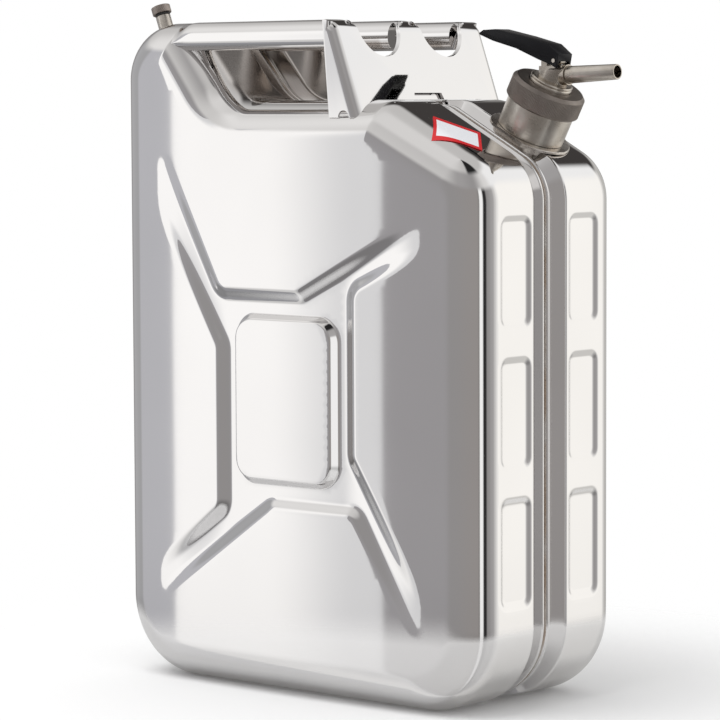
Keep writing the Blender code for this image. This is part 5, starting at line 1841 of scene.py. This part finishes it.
@dataclass
class BlankSticker:
    """A plain film square on the front half of the deck."""

    side: float = 0.0355
    inset: float = 0.0447
    y: float = -0.0475
    film: float = 0.0003

    @property
    def middle(self) -> Vector:
        """Middle of the square, in the can's own axes."""
        x = CAN.half_width - self.inset
        return Vector((x, self.y, CAN.deck_z(x)))

    def build(self, assembly: Assembly) -> None:
        """Lay the film over the deck and its rounding."""
        bpy.ops.mesh.primitive_grid_add(x_subdivisions=24, y_subdivisions=24, size=self.side)
        piece = Bench.named("plain_sticker")
        piece.data.transform(Matrix.Rotation(math.pi / 4, 4, "Z"))
        along = Vector((math.cos(CAN.deck_slope), 0.0, -math.sin(CAN.deck_slope)))
        for vertex in piece.data.vertices:
            x, y = vertex.co.x, vertex.co.y + self.y
            over = max(0.0, -y - CAN.rounding_start)
            drop = CAN.edge_rounding - math.sqrt(CAN.edge_rounding ** 2 - over ** 2)
            place = Vector((self.middle.x, y, self.middle.z)) + along * x
            vertex.co = place + CAN.neck_axis * (CAN.seat_gap - drop)
        if piece.data.polygons[0].normal.z < 0:
            piece.data.flip_normals()
        Bench.apply(piece, "SOLIDIFY", thickness=self.film, offset=1.0)
        Bench.settle(piece)
        assembly.add(piece, Body.CAN, Slot.STICKER, "blank_sticker")


@dataclass
class Studio:
    """Floor, dome, world, lamp and camera."""

    camera_place: Point = (1.6032, -1.8347, 0.4336)
    azimuth: float = math.radians(41.21)
    pitch: float = math.radians(-4.58)
    roll: float = math.radians(0.25)
    focal_px: float = 3324.8
    image_px: float = 720.0
    sensor: float = 36.0
    clip_end: float = 100.0
    world_light: float = 0.80
    dome_radius: float = 6.0
    dome_height: float = 0.3
    floor_radius: float = 3.0
    floor_colour: Colour = (0.93, 0.93, 0.93)
    floor_fade: tuple[float, float] = (0.22, 0.5)
    floor_sheer: float = 0.40
    lamp_place: Point = (-0.6, -1.0, 3.0)
    lamp_size: float = 2.5
    lamp_energy: float = 45.0
    low_cards: tuple[tuple[float, Colour], ...] = (
        (-180, (0.55, 0.54, 0.52)), (-165, (0.55, 0.54, 0.52)), (-150, (0.30, 0.29, 0.28)),
        (-120, (0.28, 0.27, 0.27)), (-100, (0.45, 0.45, 0.46)), (-66, (0.42, 0.42, 0.43)),
        (-58, (0.54, 0.54, 0.57)), (-48, (0.54, 0.54, 0.57)), (-36, (0.37, 0.36, 0.37)),
        (-10, (0.33, 0.32, 0.32)), (64, (0.34, 0.32, 0.31)), (70, (0.28, 0.27, 0.26)),
        (72, (1.05, 1.05, 1.05)), (79, (1.05, 1.05, 1.05)), (83, (0.03, 0.03, 0.03)),
        (89, (0.03, 0.03, 0.03)), (94, (0.32, 0.31, 0.31)), (112, (0.42, 0.41, 0.41)),
        (121, (0.69, 0.68, 0.67)), (128, (0.93, 0.92, 0.90)), (135, (1.12, 1.10, 1.06)),
        (160, (1.10, 1.08, 1.04)), (172, (0.75, 0.74, 0.72)), (180, (0.55, 0.54, 0.52)),
    )
    high_cards: tuple[tuple[float, Colour], ...] = (
        (-180, (0.055, 0.05, 0.048)), (-140, (0.055, 0.05, 0.048)), (-112, (0.62, 0.61, 0.60)),
        (-60, (0.90, 0.89, 0.88)), (-30, (0.70, 0.69, 0.68)), (20, (0.40, 0.39, 0.39)),
        (60, (0.35, 0.34, 0.34)), (100, (0.80, 0.79, 0.78)), (125, (1.0, 1.0, 1.0)),
        (160, (1.0, 1.0, 1.0)), (172, (0.055, 0.05, 0.048)), (180, (0.055, 0.05, 0.048)),
    )
    top_cards: tuple[tuple[float, Colour], ...] = (
        (-180, (0.60, 0.59, 0.58)), (-20, (0.78, 0.77, 0.76)), (45, (0.60, 0.59, 0.58)),
        (58, (0.02, 0.02, 0.02)), (92, (0.02, 0.02, 0.02)), (105, (0.60, 0.59, 0.58)),
        (180, (0.60, 0.59, 0.58)),
    )
    low_fade: tuple[float, float] = (8.0, 20.0)
    high_fade: tuple[float, float] = (20.0, 31.0)
    top_fade: tuple[float, float] = (50.0, 62.0)
    window: tuple[float, float] = (-50.9, -34.6)
    window_edge: float = 0.25
    window_fade: tuple[float, float] = (-43.5, -36.5)
    window_left: Colour = (1.14, 1.13, 1.12)
    window_right: Colour = (0.80, 0.80, 0.81)
    below: float = 0.62

    def build(self) -> None:
        """Set up the whole studio."""
        self._camera()
        self._world()
        self._dome()
        self._floor()
        self._lamp()
        bpy.context.scene.view_settings.view_transform = "Standard"

    def _camera(self) -> None:
        """The photograph's viewpoint, a little above the can."""
        data = bpy.data.cameras.new("camera")
        data.sensor_width = self.sensor
        data.lens = self.focal_px / self.image_px * self.sensor
        data.clip_end = self.clip_end
        camera = Bench.linked("camera", data)
        camera.location = CAN.to_frame @ Vector(self.camera_place)
        camera.rotation_euler = (math.pi / 2 + self.pitch, self.roll, self.azimuth)
        bpy.context.scene.camera = camera

    @staticmethod
    def _rays(graph: Graph) -> tuple[Wire, Wire]:
        """Whether a ray comes from the camera or a mirror, and whether from a mirror."""
        path = graph.node("ShaderNodeLightPath")
        mirror = graph.wire(path, "Is Glossy Ray")
        return graph.math("MAXIMUM", graph.wire(path, "Is Camera Ray"), mirror), mirror

    def _world(self) -> None:
        """White all round, and a little darker as a light."""
        world = bpy.data.worlds.new("studio_world")
        graph = Graph(world)
        seen, _ = self._rays(graph)
        background = graph.node("ShaderNodeBackground", Color=(1, 1, 1, 1),
                                Strength=self.world_light + seen * (1.0 - self.world_light))
        graph.node("ShaderNodeOutputWorld", Surface=graph.wire(background))
        bpy.context.scene.world = world

    def _dome(self) -> None:
        """Soft boxes and dark room, which only the metal's reflections see."""
        bpy.ops.mesh.primitive_uv_sphere_add(segments=64, ring_count=32,
                                             radius=self.dome_radius,
                                             location=(0.0, 0.0, self.dome_height))
        dome = Bench.named("studio_dome")
        material = bpy.data.materials.new("studio_cards")
        graph = Graph(material)
        x, y, z = graph.axes()
        turn = graph.math("ARCTAN2", x, y * -1.0)
        level = graph.math("ARCSINE", z / self.dome_radius)

        def fade(value: Wire, ends: tuple[float, float]) -> Wire:
            """A soft step between two angles in degrees."""
            return graph.band(value, *map(math.radians, ends))

        share = turn / math.tau + 0.5
        low, high, top = (
            graph.ramp(share, [(degrees / 360.0 + 0.5, colour) for degrees, colour in cards])
            for cards in (self.low_cards, self.high_cards, self.top_cards))
        start, end = self.window
        window = (fade(turn, (start, start + self.window_edge))
                  - fade(turn, (end - self.window_edge, end)))
        light = graph.blend(fade(turn, self.window_fade), self.window_left, self.window_right)
        low = graph.blend(window, low, light)
        walls = graph.blend(fade(level, self.high_fade), low, high)
        dimmed = fade(level * -1.0, self.low_fade) * (1.0 - self.below)
        glow = graph.node("ShaderNodeEmission", Strength=1.0 - dimmed,
                          Color=graph.blend(fade(level, self.top_fade), walls, top))
        graph.node("ShaderNodeOutputMaterial", Surface=graph.wire(glow))
        material.cycles.emission_sampling = "NONE"
        dome.data.materials.append(material)
        dome.visible_camera = False
        dome.visible_diffuse = False
        dome.visible_shadow = False
        dome.visible_transmission = False

    def _floor(self) -> None:
        """A pale floor, which fades away from the can for the camera and for mirrors."""
        bpy.ops.mesh.primitive_circle_add(vertices=96, radius=self.floor_radius,
                                          fill_type="NGON")
        floor = Bench.named("studio_floor")
        material = bpy.data.materials.new("pale_floor")
        graph = Graph(material)
        shader = graph.node("ShaderNodeBsdfDiffuse", Color=(*self.floor_colour, 1.0))
        clear = graph.node("ShaderNodeBsdfTransparent")
        x, y, _ = graph.axes()
        away = graph.math("SQRT", x * x + y * y)
        seen, mirror = self._rays(graph)
        far = graph.math("MAXIMUM", graph.band(away, *self.floor_fade) * seen,
                         mirror * self.floor_sheer)
        mixed = graph.node("ShaderNodeMixShader", Fac=far)
        graph.feed(mixed.inputs[1], graph.wire(shader))
        graph.feed(mixed.inputs[2], graph.wire(clear))
        graph.node("ShaderNodeOutputMaterial", Surface=graph.wire(mixed))
        floor.data.materials.append(material)

    def _lamp(self) -> None:
        """One large soft lamp above."""
        data = bpy.data.lights.new("soft_lamp", "AREA")
        data.shape = "DISK"
        data.size = self.lamp_size
        data.energy = self.lamp_energy
        lamp = Bench.linked("soft_lamp", data)
        lamp.location = self.lamp_place
        lamp.rotation_euler = (-Vector(self.lamp_place)).to_track_quat("-Z", "Y").to_euler()
        lamp.visible_glossy = False


def main() -> None:
    """Build the studio, then every piece."""
    logging.basicConfig(level=logging.INFO, format="%(name)s %(message)s")
    Studio().build()
    assembly = Assembly(Finishes())
    PressedShell().build(assembly)
    SeamWeld().build(assembly)
    blank = can_blank(CAN.seat_gap)
    CarryingBars().build(assembly, blank)
    HandleBracket().build(assembly, blank)
    bpy.data.objects.remove(blank, do_unlink=True)
    FillerNeck().build(assembly)
    UnionNut().build(assembly)
    Tap().build(assembly)
    Lever().build(assembly)
    BleedVent().build(assembly)
    BlankSticker().build(assembly)
    kept = {
        "flame_arrester": Slot.ARRESTER, "neck_seal": Slot.RUBBER, "valve_seal": Slot.RUBBER,
        "stem_seal": Slot.RUBBER, "vent_seal": Slot.RUBBER, "valve_stem": Slot.SATIN,
        "valve_spring": Slot.STEEL, "lever_pin": Slot.SATIN,
    }
    for node, slot in kept.items():
        assembly.dress_node(node, slot)
    bpy.ops.object.select_all(action="DESELECT")


if __name__ == "__main__":
    main()
